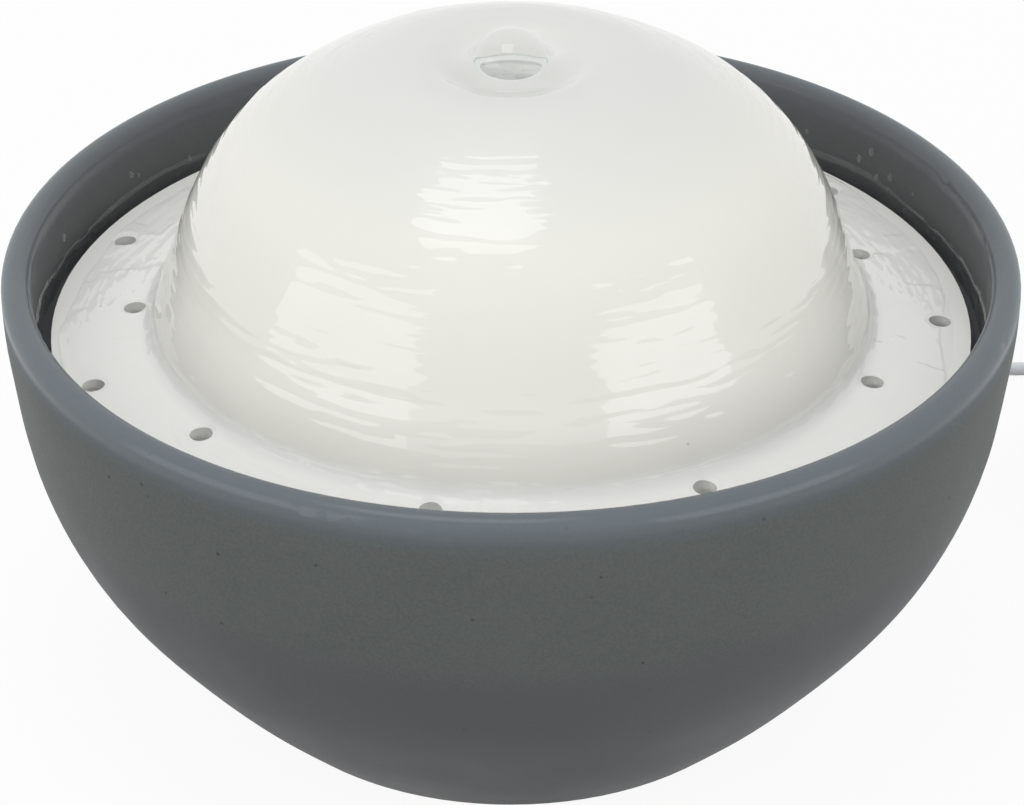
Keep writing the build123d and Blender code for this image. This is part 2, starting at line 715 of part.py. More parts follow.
with BuildPart() as cover_seal:
    seal_middle = ((volute_radius + cover_radius) / 2, recess_back - seal_thickness / 2, axis_z)
    with BuildSketch(Plane(origin=seal_middle, x_dir=(1, 0, 0), z_dir=(0, 0, 1))):
        Circle(seal_thickness / 2 - snug_gap / 2)
    revolve(axis=Axis((0, 0, axis_z), (0, 1, 0)))
cover_seal.part.label = "cover_seal"

# ---------------------------------------------------------------- strainer and flow dial
strainer_back = -pump_front - seat_gap
strainer_front = strainer_back - strainer_length
slot_height = pump_height - 2 * strainer_wall - 2 * strainer_margin
first_slot = dial_radius + dial_margin
with BuildPart() as strainer_cover:
    with BuildSketch(facing_back(strainer_front, z=axis_z)):
        RectangleRounded(pump_width, pump_height, pump_corner)
    extrude(amount=strainer_length)
    with BuildSketch(facing_back(strainer_front + strainer_wall, z=axis_z)):
        RectangleRounded(pump_width - 2 * strainer_wall, pump_height - 2 * strainer_wall,
                         pump_corner - strainer_wall)
    extrude(amount=strainer_length, mode=Mode.SUBTRACT)
    with BuildSketch(facing_back(strainer_front - overcut, z=axis_z)):
        Circle(dial_pin + running_gap)
        for side in (-1, 1):
            for i in range(strainer_slots):
                with Locations((side * (first_slot + i * strainer_slot_pitch), 0)):
                    SlotOverall(slot_height, strainer_slot_width, rotation=90)
        for i in range(3):
            SlotArc(CenterArc((0, 0), dial_window_ring, 120 * i - dial_window_sweep / 2, dial_window_sweep),
                    dial_window)
    extrude(amount=strainer_wall + 2 * overcut, mode=Mode.SUBTRACT)
    for side in (-1, 1):  # a clip on each flank, which reaches back over the housing
        with BuildSketch(facing_back(strainer_back - clip_length, z=axis_z)):
            with Locations((side * (pump_width / 2 + slide_gap + clip_thickness / 2), 0)):
                Rectangle(clip_thickness, clip_width)
        extrude(amount=2 * clip_length)
        with BuildSketch(facing_back(strainer_back - clip_length, z=axis_z)):
            with Locations((side * (pump_width / 2 + slide_gap / 2), 0)):
                Rectangle(slide_gap + 1, clip_width)
        extrude(amount=clip_length - 1)
strainer_cover.part.label = "strainer_cover"

dial_back = strainer_front - seat_gap
dial_front = dial_back - dial_thickness
with BuildPart() as flow_dial:
    with BuildSketch(facing_back(dial_front, z=axis_z)):
        Circle(dial_radius)
        for i in range(3):
            SlotArc(CenterArc((0, 0), dial_window_ring, 120 * i - dial_window_sweep / 2, dial_window_sweep),
                    dial_window, mode=Mode.SUBTRACT)
    extrude(amount=dial_thickness)
    with BuildSketch(facing_back(dial_front, z=axis_z)):
        Circle(dial_pin)
    extrude(amount=dial_thickness + seat_gap + strainer_wall + 1)
    with BuildSketch(facing_back(dial_front - dial_bar_height, z=axis_z)):
        Rectangle(2 * (dial_window_ring - dial_window / 2 - 1), dial_bar_width)
    extrude(amount=dial_bar_height)
flow_dial.part.label = "flow_dial"

# ---------------------------------------------------------------- cord
grommet_out = spot_out + grommet_flange_thickness
pump_lead_route = [(0, pump_back, axis_z), (0, 68, axis_z), (0, 82, 44), (0, 91, 60), (0, 97, 78),
                   (0, 110, cable_z), (0, grommet_out, cable_z)]
print_radii("pump lead", pump_lead_route)
with BuildPart() as pump_lead:
    with BuildLine():
        FilletPolyline(*pump_lead_route, radius=corner_radii(pump_lead_route))
    with BuildSketch(facing_back(pump_back, z=axis_z)):
        Circle(cord_radius)
    sweep()
pump_lead.part.label = "pump_lead"

# From the grommet it droops to the floor behind the bowl and runs out to the right.
cord_floor = cord_radius + snug_gap
coil_radius = coil_across / 2
turn_pitch = 2 * cord_radius + turn_gap
outer_turn = coil_radius + turn_pitch * (coil_turns_wide - 1) / 2
coil_low = tie_thickness + 2 * snug_gap
first_turn_z = coil_low + cord_radius
enter = radians(coil_enters)
coil_entry = (coil_centre[0] + outer_turn * cos(enter), coil_centre[1] + outer_turn * sin(enter), first_turn_z)
before_coil = (coil_entry[0] + coil_run_in * sin(enter), coil_entry[1] - coil_run_in * cos(enter), cord_floor)
power_cord_route = [(0, grommet_out, cable_z), (0, 150, cable_z), (3, 168, 82), (8, 180, 64), (14, 187, 42),
                    (24, 190, 21), (40, 190, 7), (58, 182, cord_floor), (90, 168, cord_floor),
                    (122, 157, cord_floor), (150, 152.7, cord_floor), before_coil, coil_entry]
print_radii("power cord", power_cord_route)
with BuildPart() as power_cord:
    with BuildLine():
        FilletPolyline(*power_cord_route, radius=corner_radii(power_cord_route))
    with BuildSketch(facing_back(grommet_out, z=cable_z)):
        Circle(cord_radius)
    sweep()
power_cord.part.label = "power_cord"

coil_width = turn_pitch * coil_turns_wide
coil_height = turn_pitch * coil_turns_high
with BuildPart() as cord_coil:
    with BuildSketch(Plane(origin=(*coil_centre, 0), x_dir=(1, 0, 0), z_dir=(0, -1, 0))):
        with Locations((coil_radius, coil_low + coil_height / 2)):
            RectangleRounded(coil_width, coil_height, cord_radius)
    revolve(axis=Axis((*coil_centre, 0), (0, 0, 1)))
cord_coil.part.label = "cord_coil"

across_tie = Plane(origin=(*coil_centre, 0), x_dir=(cos(radians(tie_angle)), sin(radians(tie_angle)), 0),
                   z_dir=(sin(radians(tie_angle)), -cos(radians(tie_angle)), 0))
with BuildPart() as cord_tie:
    with BuildSketch(across_tie):
        with Locations((coil_radius, coil_low + coil_height / 2)):
            RectangleRounded(coil_width + 2 * tie_thickness, coil_height + 2 * tie_thickness,
                             cord_radius + tie_thickness)
            RectangleRounded(coil_width, coil_height, cord_radius, mode=Mode.SUBTRACT)
    extrude(amount=tie_width / 2, both=True)
cord_tie.part.label = "cord_tie"

adapter_x, adapter_y = adapter_centre
adapter_back = adapter_y + adapter_length / 2
adapter_front = adapter_y - adapter_length / 2
split_z = adapter_height / 2
adapter_gland_end = adapter_back + gland_length
tail_z = first_turn_z + turn_pitch * (coil_turns_high - 1)
leave = radians(coil_leaves)
tail_start = (coil_centre[0] + outer_turn * cos(leave), coil_centre[1] + outer_turn * sin(leave), tail_z)
tail_route = [tail_start, (168.7, 171, 7.6), (171.5, 155, 10), (adapter_x, 140, split_z),
              (adapter_x, adapter_back - adapter_wall, split_z)]
print_radii("cord tail", tail_route)
with BuildPart() as cord_tail:
    with BuildLine() as tail_path:
        FilletPolyline(*tail_route, radius=corner_radii(tail_route))
    with BuildSketch(Plane(origin=tail_start, z_dir=tail_path.line % 0)):
        Circle(cord_radius)
    sweep()
cord_tail.part.label = "cord_tail"

for node in (pump_lead, power_cord, cord_tail):
    section = pi * cord_radius**2
    print(node.part.label, "runs", round(node.part.volume / section), "mm")

# ---------------------------------------------------------------- wall adapter
def adapter_shell(low, high, closed_low):
    """Half of the adapter's case, between two heights, closed at its bottom or its top."""
    with BuildPart() as shell:
        with BuildSketch(Plane.XY.offset(low)):
            with Locations(adapter_centre):
                RectangleRounded(adapter_width, adapter_length, adapter_corner)
        extrude(amount=high - low)
        fillet(shell.edges().group_by(Axis.Z)[0 if closed_low else -1], adapter_edge)
        with BuildSketch(Plane.XY.offset(low + adapter_wall if closed_low else low)):
            with Locations(adapter_centre):
                RectangleRounded(adapter_width - 2 * adapter_wall, adapter_length - 2 * adapter_wall,
                                 adapter_corner - adapter_wall)
        extrude(amount=high - low - adapter_wall, mode=Mode.SUBTRACT)
        with BuildSketch(facing_back(adapter_front - overcut, adapter_x, split_z)):
            with GridLocations(pin_spread, 1, 2, 1):
                Circle(pin_radius + snug_gap)
        extrude(amount=adapter_wall + 2 * overcut, mode=Mode.SUBTRACT)
        with BuildSketch(facing_back(adapter_back - adapter_wall - overcut, adapter_x, split_z)):
            Circle(gland_plug + snug_gap)
        extrude(amount=adapter_wall + 2 * overcut, mode=Mode.SUBTRACT)
    return shell.part


board_z = adapter_wall + board_post
lower_shell = adapter_shell(0, split_z, True)
with BuildPart() as adapter_case:
    add(lower_shell)
    with BuildSketch(Plane.XY.offset(adapter_wall / 2)):
        with Locations(adapter_centre):
            with GridLocations(board_width - board_post, board_length - board_post, 2, 2):
                Circle(board_post_radius)
    extrude(amount=board_z - adapter_wall / 2)
adapter_case.part.label = "adapter_case"

upper_shell = adapter_shell(split_z, adapter_height, False)
with BuildPart() as adapter_cover:
    add(upper_shell)
adapter_cover.part.label = "adapter_cover"

with BuildPart() as adapter_board:
    with BuildSketch(Plane.XY.offset(board_z)):
        with Locations(adapter_centre):
            Rectangle(board_width, board_length)
    extrude(amount=board_thickness)
adapter_board.part.label = "adapter_board"

with BuildPart() as adapter_transformer:
    with BuildSketch(Plane.XY.offset(board_z + board_thickness)):
        with Locations(adapter_centre):
            RectangleRounded(transformer_width, transformer_length, transformer_corner)
    extrude(amount=transformer_height)
adapter_transformer.part.label = "adapter_transformer"

with BuildPart() as adapter_pins:
    with BuildSketch(facing_back(adapter_front - pin_length, adapter_x, split_z)):
        with GridLocations(pin_spread, 1, 2, 1):
            Circle(pin_radius)
    extrude(amount=pin_length + pin_root)
    fillet(adapter_pins.edges().group_by(Axis.Y)[0], pin_radius / 2)
adapter_pins.part.label = "adapter_pins"

with BuildPart() as adapter_gland:
    with BuildSketch(facing_back(adapter_back - adapter_wall, adapter_x, split_z)):
        Circle(gland_plug)
    extrude(amount=adapter_wall)
    with BuildSketch(facing_back(adapter_back, adapter_x, split_z)):
        Circle(gland_radius)
    with BuildSketch(facing_back(adapter_gland_end, adapter_x, split_z)):
        Circle(gland_tip)
    loft()
    with BuildSketch(facing_back(adapter_back - adapter_wall - overcut, adapter_x, split_z)):
        Circle(cord_bore)
    extrude(amount=gland_length + adapter_wall + 2 * overcut, mode=Mode.SUBTRACT)
adapter_gland.part.label = "adapter_gland"

pieces = [bowl, foot_pads, cable_grommet, fountain_dome, outlet_sleeve, riser_tube, pump_chamber, chamber_lid,
          filter_frame, filter_fleece, carbon_fill, pump_housing, suction_cups, motor_end_cap, pump_gland,
          stator_core, coil_bobbin, coil_winding, impeller, rotor_magnet, impeller_shaft, shaft_bushes,
          impeller_cover, cover_seal, strainer_cover, flow_dial, pump_lead, power_cord, cord_coil, cord_tie,
          cord_tail, adapter_case, adapter_cover, adapter_board, adapter_transformer, adapter_pins,
          adapter_gland]
for piece in pieces:
    export_step(piece.part, f"parts/{piece.part.label}.step")
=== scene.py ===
from math import copysign, cos, floor, pi, radians, sin, tau

import bmesh
import bpy
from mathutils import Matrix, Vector, noise
from mathutils.bvhtree import BVHTree


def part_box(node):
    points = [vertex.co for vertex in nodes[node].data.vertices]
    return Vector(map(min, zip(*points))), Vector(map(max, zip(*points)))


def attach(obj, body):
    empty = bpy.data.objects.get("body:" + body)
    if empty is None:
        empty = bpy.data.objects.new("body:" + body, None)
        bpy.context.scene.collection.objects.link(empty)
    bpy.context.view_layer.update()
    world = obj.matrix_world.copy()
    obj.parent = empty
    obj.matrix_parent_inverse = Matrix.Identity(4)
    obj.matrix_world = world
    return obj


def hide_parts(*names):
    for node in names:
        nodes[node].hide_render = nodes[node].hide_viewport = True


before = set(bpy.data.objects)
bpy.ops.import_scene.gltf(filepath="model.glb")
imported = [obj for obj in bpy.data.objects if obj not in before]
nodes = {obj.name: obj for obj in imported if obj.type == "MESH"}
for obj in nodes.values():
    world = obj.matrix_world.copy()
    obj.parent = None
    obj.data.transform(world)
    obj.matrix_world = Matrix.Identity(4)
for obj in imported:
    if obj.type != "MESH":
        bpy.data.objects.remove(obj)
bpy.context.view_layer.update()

scene = bpy.context.scene
mm = 0.001

# Sizes that the pieces share, in metres
drain_radius = 0.003
drain_rings = [(0.1010, 178.6), (0.1148, 158.6)]  # each ring's radius and the angle of its first drain
drains_in_ring = 9
clear_bearing = radians(28.6)  # halfway between a drain of one ring and a drain of the other
cord_radius = 0.0021
cable_z = 0.09065  # the height of the cord's hole in the bowl
table_z = 0.00215  # the cord's own line, where it lies on the table
adapter_x, adapter_z = 0.178, 0.015  # where the cord enters the adapter, along Y


# ---------------------------------------------------------------- small tools
def linear(colour):
    """The linear colour of an sRGB hex value."""
    shares = [int(colour[i:i + 2], 16) / 255 for i in (1, 3, 5)]
    return [s / 12.92 if s <= 0.04045 else ((s + 0.055) / 1.055) ** 2.4 for s in shares] + [1.0]


def ramp(value, start, end):
    """How far a value is on its way from start to end, from 0 to 1."""
    return min(1, max(0, (value - start) / (end - start)))


def add(tree, kind, sockets=None, **settings):
    """Adds one node: its settings first, then its inputs, each a link or a value. A short kind is a shader node's."""
    made = tree.nodes.new(kind if "Node" in kind else "ShaderNode" + kind)
    for name, value in settings.items():
        setattr(made, name, value)
    for key, value in (sockets or {}).items():
        if isinstance(value, bpy.types.Node):
            value = value.outputs[0]
        if isinstance(value, bpy.types.NodeSocket):
            tree.links.new(value, made.inputs[key])
        else:
            made.inputs[key].default_value = value
    return made


eased = {"interpolation_type": "SMOOTHSTEP"}  # for a range that starts and ends gently


def start_material(name):
    """An empty material, with its tree of nodes."""
    made = bpy.data.materials.new(name)
    made.use_nodes = True
    made.node_tree.nodes.clear()
    return made, made.node_tree


def start_surface(name):
    """A material whose patterns lie in the object's own space, in metres."""
    made, tree = start_material(name)
    return made, tree, add(tree, "TexCoord").outputs["Object"]


def start_tree(name, **inputs):
    """A geometry tree with its inputs, whose names are listed by kind."""
    tree = bpy.data.node_groups.new(name, "GeometryNodeTree")
    for kind, names in inputs.items():
        for key in names.split(", "):
            tree.interface.new_socket(name=key, in_out="INPUT", socket_type="NodeSocket" + kind)
    tree.interface.new_socket(name="Geometry", in_out="OUTPUT", socket_type="NodeSocketGeometry")
    return tree, add(tree, "NodeGroupInput").outputs


def end_tree(tree, shape, *finishes):
    """Ends a geometry tree with a smooth and real shape. Each of the finishes has a material and may select faces."""
    smooth = add(tree, "GeometryNodeSetShadeSmooth", {0: shape})
    done = add(tree, "GeometryNodeRealizeInstances", {0: smooth})
    for finish in finishes:
        done = add(tree, "GeometryNodeSetMaterial", {"Geometry": done, **finish})
    add(tree, "NodeGroupOutput", {0: done})
    return tree


def turned_grid(tree, columns, rows):
    """A grid for a shape that is swung round an axis, with each point's row and its angle round that axis."""
    across = add(tree, "Math", {0: columns, 1: 1.0}, operation="ADD")
    grid = add(tree, "GeometryNodeMeshGrid", {"Vertices X": across, "Vertices Y": rows})
    index = add(tree, "GeometryNodeInputIndex")
    row = add(tree, "Math", {0: index, 1: rows}, operation="MODULO")
    share = add(tree, "Math", {0: index, 1: rows}, operation="DIVIDE")
    column = add(tree, "Math", {0: share}, operation="FLOOR")
    turn = add(tree, "Math", {0: column, 1: columns}, operation="DIVIDE")
    return grid.outputs["Mesh"], row, add(tree, "Math", {0: turn, 1: tau}, operation="MULTIPLY")


def link(name, mesh, *materials):
    """A piece at the origin, with its place in its mesh."""
    piece = bpy.data.objects.new(name, mesh)
    scene.collection.objects.link(piece)
    for material in materials:
        mesh.materials.append(material)
    return piece


def made_by(tree, name, **sizes):
    """Runs a geometry tree with its sizes and keeps the result as a plain mesh."""
    host = link(name, bpy.data.meshes.new(name))
    modifier = host.modifiers.new(tree.name, "NODES")
    modifier.node_group = tree
    for socket in tree.interface.items_tree:
        key = socket.name.lower().replace(" ", "_")
        if socket.in_out == "INPUT" and key in sizes:
            modifier[socket.identifier] = sizes.pop(key)
    if sizes:
        raise ValueError(f"{tree.name} has no input {sorted(sizes)}")
    host.update_tag()
    mesh = bpy.data.meshes.new_from_object(host.evaluated_get(bpy.context.evaluated_depsgraph_get()))
    host.modifiers.remove(modifier)
    host.data = mesh
    mesh.name = name
    if mesh.materials and mesh.materials[0] is None:  # the host's own empty slot
        mesh.materials.pop(index=0)
    return host


# ---------------------------------------------------------------- camera
eye = bpy.data.objects.new("camera", bpy.data.cameras.new("camera"))
scene.collection.objects.link(eye)
eye.location = (0, -0.9444, 0.6456)  # 31 degrees above the horizon, through a long lens
eye.rotation_euler = (radians(59.145), 0, 0)
eye.data.lens = 142.385
eye.data.shift_x = 1 / 1024
scene.camera = eye


# ---------------------------------------------------------------- materials
def moulded(name, colour, roughness, grain, depth, shade=0.05, tint=None):
    """A moulded, pressed or ground surface: a grain in mm that lifts it and varies its gloss, and a drift of colour
    over about a centimetre."""
    made, tree, place = start_surface(name)
    grains = add(tree, "TexNoise", {"Vector": place, "Scale": 1000 / grain, "Detail": 3.0, "Roughness": 0.6})
    clouds = add(tree, "TexNoise", {"Vector": place, "Scale": 90.0, "Detail": 2.0})
    base = linear(colour)[:3]
    darker = [c * (1 - shade) for c in base] + [1.0]
    lighter = linear(tint) if tint else [min(1.0, c * (1 + shade)) for c in base] + [1.0]
    drift = add(tree, "Mix", {0: clouds, 6: darker, 7: lighter}, data_type="RGBA")
    gloss = add(tree, "MapRange", {0: grains, 1: 0.3, 2: 0.7, 3: roughness * 0.85, 4: min(1.0, roughness * 1.15)})
    relief = add(tree, "Bump", {"Height": grains, "Distance": depth * mm})
    body = add(tree, "BsdfPrincipled", {"Base Color": drift.outputs[2], "Roughness": gloss, "Normal": relief})
    add(tree, "OutputMaterial", {0: body})
    return made


def toned(tree, colour, *layers):
    """A colour with further tones over it, each as far as its share says."""
    for share, tone in layers:
        colour = add(tree, "Mix", {0: share, 6: colour.outputs[2], 7: linear(tone)}, data_type="RGBA")
    return colour.outputs[2]


def stoneware_glaze():
    """Slip-cast stoneware under a sprayed satin slate glaze: a soft sheen with a thin gloss over it, clouds of 4 cm,
    brown mottling of 3 mm, a grey grain under a millimetre, scattered pores, an orange peel of about a millimetre, a
    bluer tone down the inside, and a lighter, bluer tone over the lip that is partly the glaze thinning there and
    partly a painted reflection of the sky on the lip."""
    lip_low, lip_high, lip_middle, wall_inside = 0.1175, 0.1246, 0.1305, 0.1275  # two heights and two radii
    made, tree, place = start_surface("satin_slate_glaze")
    clouds = add(tree, "TexNoise", {"Vector": place, "Scale": 26.0, "Detail": 4.0, "Roughness": 0.55})
    mottle = add(tree, "TexNoise", {"Vector": place, "Scale": 300.0, "Detail": 2.0, "Roughness": 0.6})
    grain = add(tree, "TexNoise", {"Vector": place, "Scale": 1300.0, "Detail": 1.0})
    peel = add(tree, "TexNoise", {"Vector": place, "Scale": 850.0, "Detail": 2.0})
    pore = add(tree, "TexVoronoi", {"Vector": place, "Scale": 110.0}).outputs["Distance"]
    height = add(tree, "SeparateXYZ", {0: place}).outputs[2]
    flat = add(tree, "VectorMath", {0: place, 1: (1, 1, 0)}, operation="MULTIPLY")
    reach = add(tree, "VectorMath", {0: flat}, operation="LENGTH").outputs["Value"]
    thick = add(tree, "MapRange", {0: clouds, 1: 0.3, 2: 0.7})
    colour = add(tree, "Mix", {0: thick, 6: linear("#5a5f5d"), 7: linear("#606563")}, data_type="RGBA")
    browned = add(tree, "MapRange", {0: mottle, 1: 0.35, 2: 0.65, 4: 0.45})
    speckled = add(tree, "MapRange", {0: grain, 1: 0.35, 2: 0.65, 4: 0.5})
    pored = add(tree, "MapRange", {0: pore, 1: 0.035, 2: 0.075, 3: 0.6, 4: 0.0})
    # A lighter, bluer band over the lip: partly thinner glaze, partly a painted reflection of the sky
    lip_thinning_and_painted_sheen = add(tree, "MapRange", {0: height, 1: lip_low, 2: lip_high, 4: 0.6}, **eased)
    inside = add(tree, "MapRange", {0: reach, 1: lip_middle, 2: wall_inside, 4: 0.6}, **eased)
    colour = toned(tree, colour, (browned, "#62625f"), (speckled, "#686e6f"), (pored, "#34383a"),
                   (lip_thinning_and_painted_sheen, "#68717a"), (inside, "#5c5c60"))
    gloss = add(tree, "MapRange", {0: clouds, 1: 0.3, 2: 0.7, 3: 0.47, 4: 0.57})
    relief = add(tree, "Bump", {"Height": peel, "Distance": 0.03 * mm})
    glossier = add(tree, "MapRange", {0: height, 1: 0.1218, 2: 0.1243, 3: 0.01, 4: 0.46}, **eased)
    body = add(tree, "BsdfPrincipled",
               {"Base Color": colour, "Roughness": gloss, "Normal": relief, "Specular IOR Level": 0.08,
                "Coat Weight": glossier, "Coat Roughness": 0.16})
    add(tree, "OutputMaterial", {0: body})
    return made


def porcelain_glaze():
    """Slip-cast porcelain under a clear glaze: a warm milky white with faint clouds of 4 cm, waves of 8 mm and a few
    iron specks. Its colour is painted lighter and warmer at the foot and on the flange, as painted light against the
    shade there, and darker and greyer at the crown, as painted shade where the overhead lamp lights it. The water over
    it takes away most of its gloss."""
    made, tree, place = start_surface("white_porcelain_glaze")
    clouds = add(tree, "TexNoise", {"Vector": place, "Scale": 22.0, "Detail": 3.0})
    speck = add(tree, "TexVoronoi", {"Vector": place, "Scale": 45.0}).outputs["Distance"]
    height = add(tree, "SeparateXYZ", {0: place}).outputs[2]
    colour = add(tree, "Mix", {0: clouds, 6: linear("#e6e5dd"), 7: linear("#ebeae3")}, data_type="RGBA")
    # Painted light at the foot and on the flange, and painted shade at the crown, each set by height
    painted_foot_light = add(tree, "MapRange", {0: height, 1: 0.150, 2: 0.118}, **eased)
    crowned = add(tree, "MapRange", {0: height, 1: 0.160, 2: 0.184}, **eased)
    painted_flange_light = add(tree, "MapRange", {0: height, 1: 0.1160, 2: 0.1115}, **eased)
    specked = add(tree, "MapRange", {0: speck, 1: 0.010, 2: 0.022, 3: 0.5, 4: 0.0})
    colour = toned(tree, colour, (painted_foot_light, "#f4f3ec"), (crowned, "#dfe0dc"), (painted_flange_light, "#f6f6f3"),
                   (specked, "#8d8b80"))
    wave = add(tree, "TexNoise", {"Vector": place, "Scale": 120.0, "Detail": 1.0})
    relief = add(tree, "Bump", {"Height": wave, "Distance": 0.05 * mm})
    body = add(tree, "BsdfPrincipled",
               {"Base Color": colour, "Roughness": 0.16, "Normal": relief, "IOR": 1.5, "Specular IOR Level": 0.2})
    add(tree, "OutputMaterial", {0: body})
    return made


def clear_body(name, ior, roughness, colour, coat=0.0):
    """A clear body that lets shadow and diffuse rays straight through, so that what lies under it is lit."""
    made, tree = start_material(name)
    path = add(tree, "LightPath")
    passing = add(tree, "Math",
                  {0: path.outputs["Is Shadow Ray"], 1: path.outputs["Is Diffuse Ray"]}, operation="MAXIMUM")
    body = add(tree, "BsdfPrincipled",
               {"Base Color": linear(colour), "Roughness": roughness, "IOR": ior, "Transmission Weight": 1.0,
                "Coat Weight": coat, "Coat Roughness": 0.02})
    open_way = add(tree, "BsdfTransparent", {0: linear(colour)})
    mixed = add(tree, "MixShader", {0: passing, 1: body, 2: open_way})
    add(tree, "OutputMaterial", {0: mixed})
    return made


def bubbly_water():
    """Water full of bubbles of about 2 mm, as it leaves the hose: milky at the rim and at the back, and greener and
    darker in front, which is painted shade at the outlet's front edge."""
    made, tree, place = start_surface("aerated_tap_water")
    flat = add(tree, "VectorMath", {0: place, 1: (1, 1, 0)}, operation="MULTIPLY")
    reach = add(tree, "VectorMath", {0: flat}, operation="LENGTH").outputs["Value"]
    back = add(tree, "SeparateXYZ", {0: place}).outputs[1]
    bubbles = add(tree, "TexNoise", {"Vector": place, "Scale": 420.0, "Detail": 3.0})
    rim = add(tree, "MapRange", {0: reach, 1: 4.0 * mm, 2: 5.6 * mm}, **eased)
    # Painted shade: the front of the column, towards -Y, is coloured a darker green, the back milky
    behind_painted_shade = add(tree, "MapRange", {0: back, 1: -1.0 * mm, 2: 2.4 * mm}, **eased)
    milky = add(tree, "Math", {0: rim, 1: behind_painted_shade}, operation="MAXIMUM")
    painted_shade_green = add(tree, "Mix", {0: bubbles, 6: linear("#75847e"), 7: linear("#a3b0ab")}, data_type="RGBA")
    colour = add(tree, "Mix", {0: milky, 6: painted_shade_green.outputs[2], 7: linear("#e2e4e0")}, data_type="RGBA")
    relief = add(tree, "Bump", {"Height": bubbles, "Distance": 0.4 * mm})
    body = add(tree, "BsdfPrincipled",
               {"Base Color": colour.outputs[2], "Roughness": 0.4, "Normal": relief, "IOR": 1.33})
    add(tree, "OutputMaterial", {0: body})
    return made


def needled_fleece():
    """Needle-punched polyester fleece: matte white, with fibres of 0.6 mm lying every way and soft pills of 2 mm."""
    made, tree, place = start_surface("needled_polyester_fleece")
    fibres = add(tree, "TexNoise", {"Vector": place, "Scale": 1600.0, "Detail": 4.0, "Distortion": 2.5})
    pills = add(tree, "TexVoronoi", {"Vector": place, "Scale": 420.0})
    height = add(tree, "Math", {0: fibres, 1: pills.outputs["Distance"]}, operation="ADD")
    colour = add(tree, "Mix", {0: fibres, 6: linear("#d3d6d6"), 7: linear("#eff1f0")}, data_type="RGBA")
    relief = add(tree, "Bump", {"Height": height, "Distance": 0.35 * mm, "Strength": 0.8})
    body = add(tree, "BsdfPrincipled",
               {"Base Color": colour.outputs[2], "Roughness": 0.95, "Normal": relief, "Sheen Weight": 0.4})
    add(tree, "OutputMaterial", {0: body})
    return made


def granules():
    """Crushed coconut-shell carbon in grains of about 1.5 mm: black, each grain with its own facet and dull glint, and
    painted lighter on its top and darker towards its edges as painted shade between the grains.
    """
    made, tree, place = start_surface("granular_activated_carbon")
    grains = add(tree, "TexVoronoi", {"Vector": place, "Scale": 660.0})
    # Painted shade: each grain is darker towards its edges, in the crevices between grains
    colour = add(tree, "Mix",
                 {0: grains.outputs["Distance"], 6: linear("#2e2f30"), 7: linear("#0e0e0f")}, data_type="RGBA")
    gloss = add(tree, "MapRange", {0: grains.outputs["Color"], 3: 0.45, 4: 0.9})
    relief = add(tree, "Bump", {"Height": grains.outputs["Distance"], "Distance": 0.6 * mm}, invert=True)
    body = add(tree, "BsdfPrincipled", {"Base Color": colour.outputs[2], "Roughness": gloss, "Normal": relief})
    add(tree, "OutputMaterial", {0: body})
    return made


def ridged(name, colour, dark_joint_and_groove_shade, pitch, depth, along, roughness):
    """Bare or varnished metal in fine parallel ridges, such as wound wire or stacked sheets, pitch mm apart. The
    troughs
    are painted darker: painted shade in the grooves, and between stacked sheets also their dark joints.
    """
    made, tree, place = start_surface(name)
    ridges = add(tree, "TexWave",
                 {"Vector": place, "Scale": tau / (20 * pitch * mm), "Distortion": 0.3, "Detail": 1.0,
                  "Detail Scale": 2.0}, bands_direction=along, wave_profile="SIN")
    cloud = add(tree, "TexNoise", {"Vector": place, "Scale": 300.0, "Detail": 2.0})
    shade = add(tree, "MapRange", {0: ridges, 1: 0.1, 2: 0.6})
    # Painted shade in the troughs; between stacked sheets also their dark joints
    tone = add(tree, "Mix", {0: shade, 6: linear(dark_joint_and_groove_shade), 7: linear(colour)}, data_type="RGBA")
    gloss = add(tree, "MapRange", {0: cloud, 1: 0.3, 2: 0.7, 3: roughness * 0.8, 4: roughness * 1.2})
    relief = add(tree, "Bump", {"Height": ridges, "Distance": depth * mm})
    body = add(tree, "BsdfPrincipled",
               {"Base Color": tone.outputs[2], "Roughness": gloss, "Metallic": 1.0, "Normal": relief})
    add(tree, "OutputMaterial", {0: body})
    return made


# Running water, seen over white: glass clear, its skin thick enough here to carry the lamps
water = clear_body("running_tap_water", 1.33, 0.0, "#ffffff", coat=0.4)
# Drops that cling, each a small lens with a bright glint
drop_water = clear_body("clinging_tap_water", 1.33, 0.0, "#ffffff", coat=1.0)
# The same water where it spreads thin: clear, with a weak and slightly dull gloss
thin_water = clear_body("spread_tap_water", 1.33, 0.05, "#ffffff", coat=0.15)
# The water that leaves the hose, milky grey-green
aerated_water = bubbly_water()
# Plasticised PVC, extruded over two cores: bluish white, soft gloss, faintly wavy
cord_pvc = moulded("extruded_white_pvc", "#eef2f5", 0.34, 2.6, 0.05, 0.03)

fleece_finish = needled_fleece()

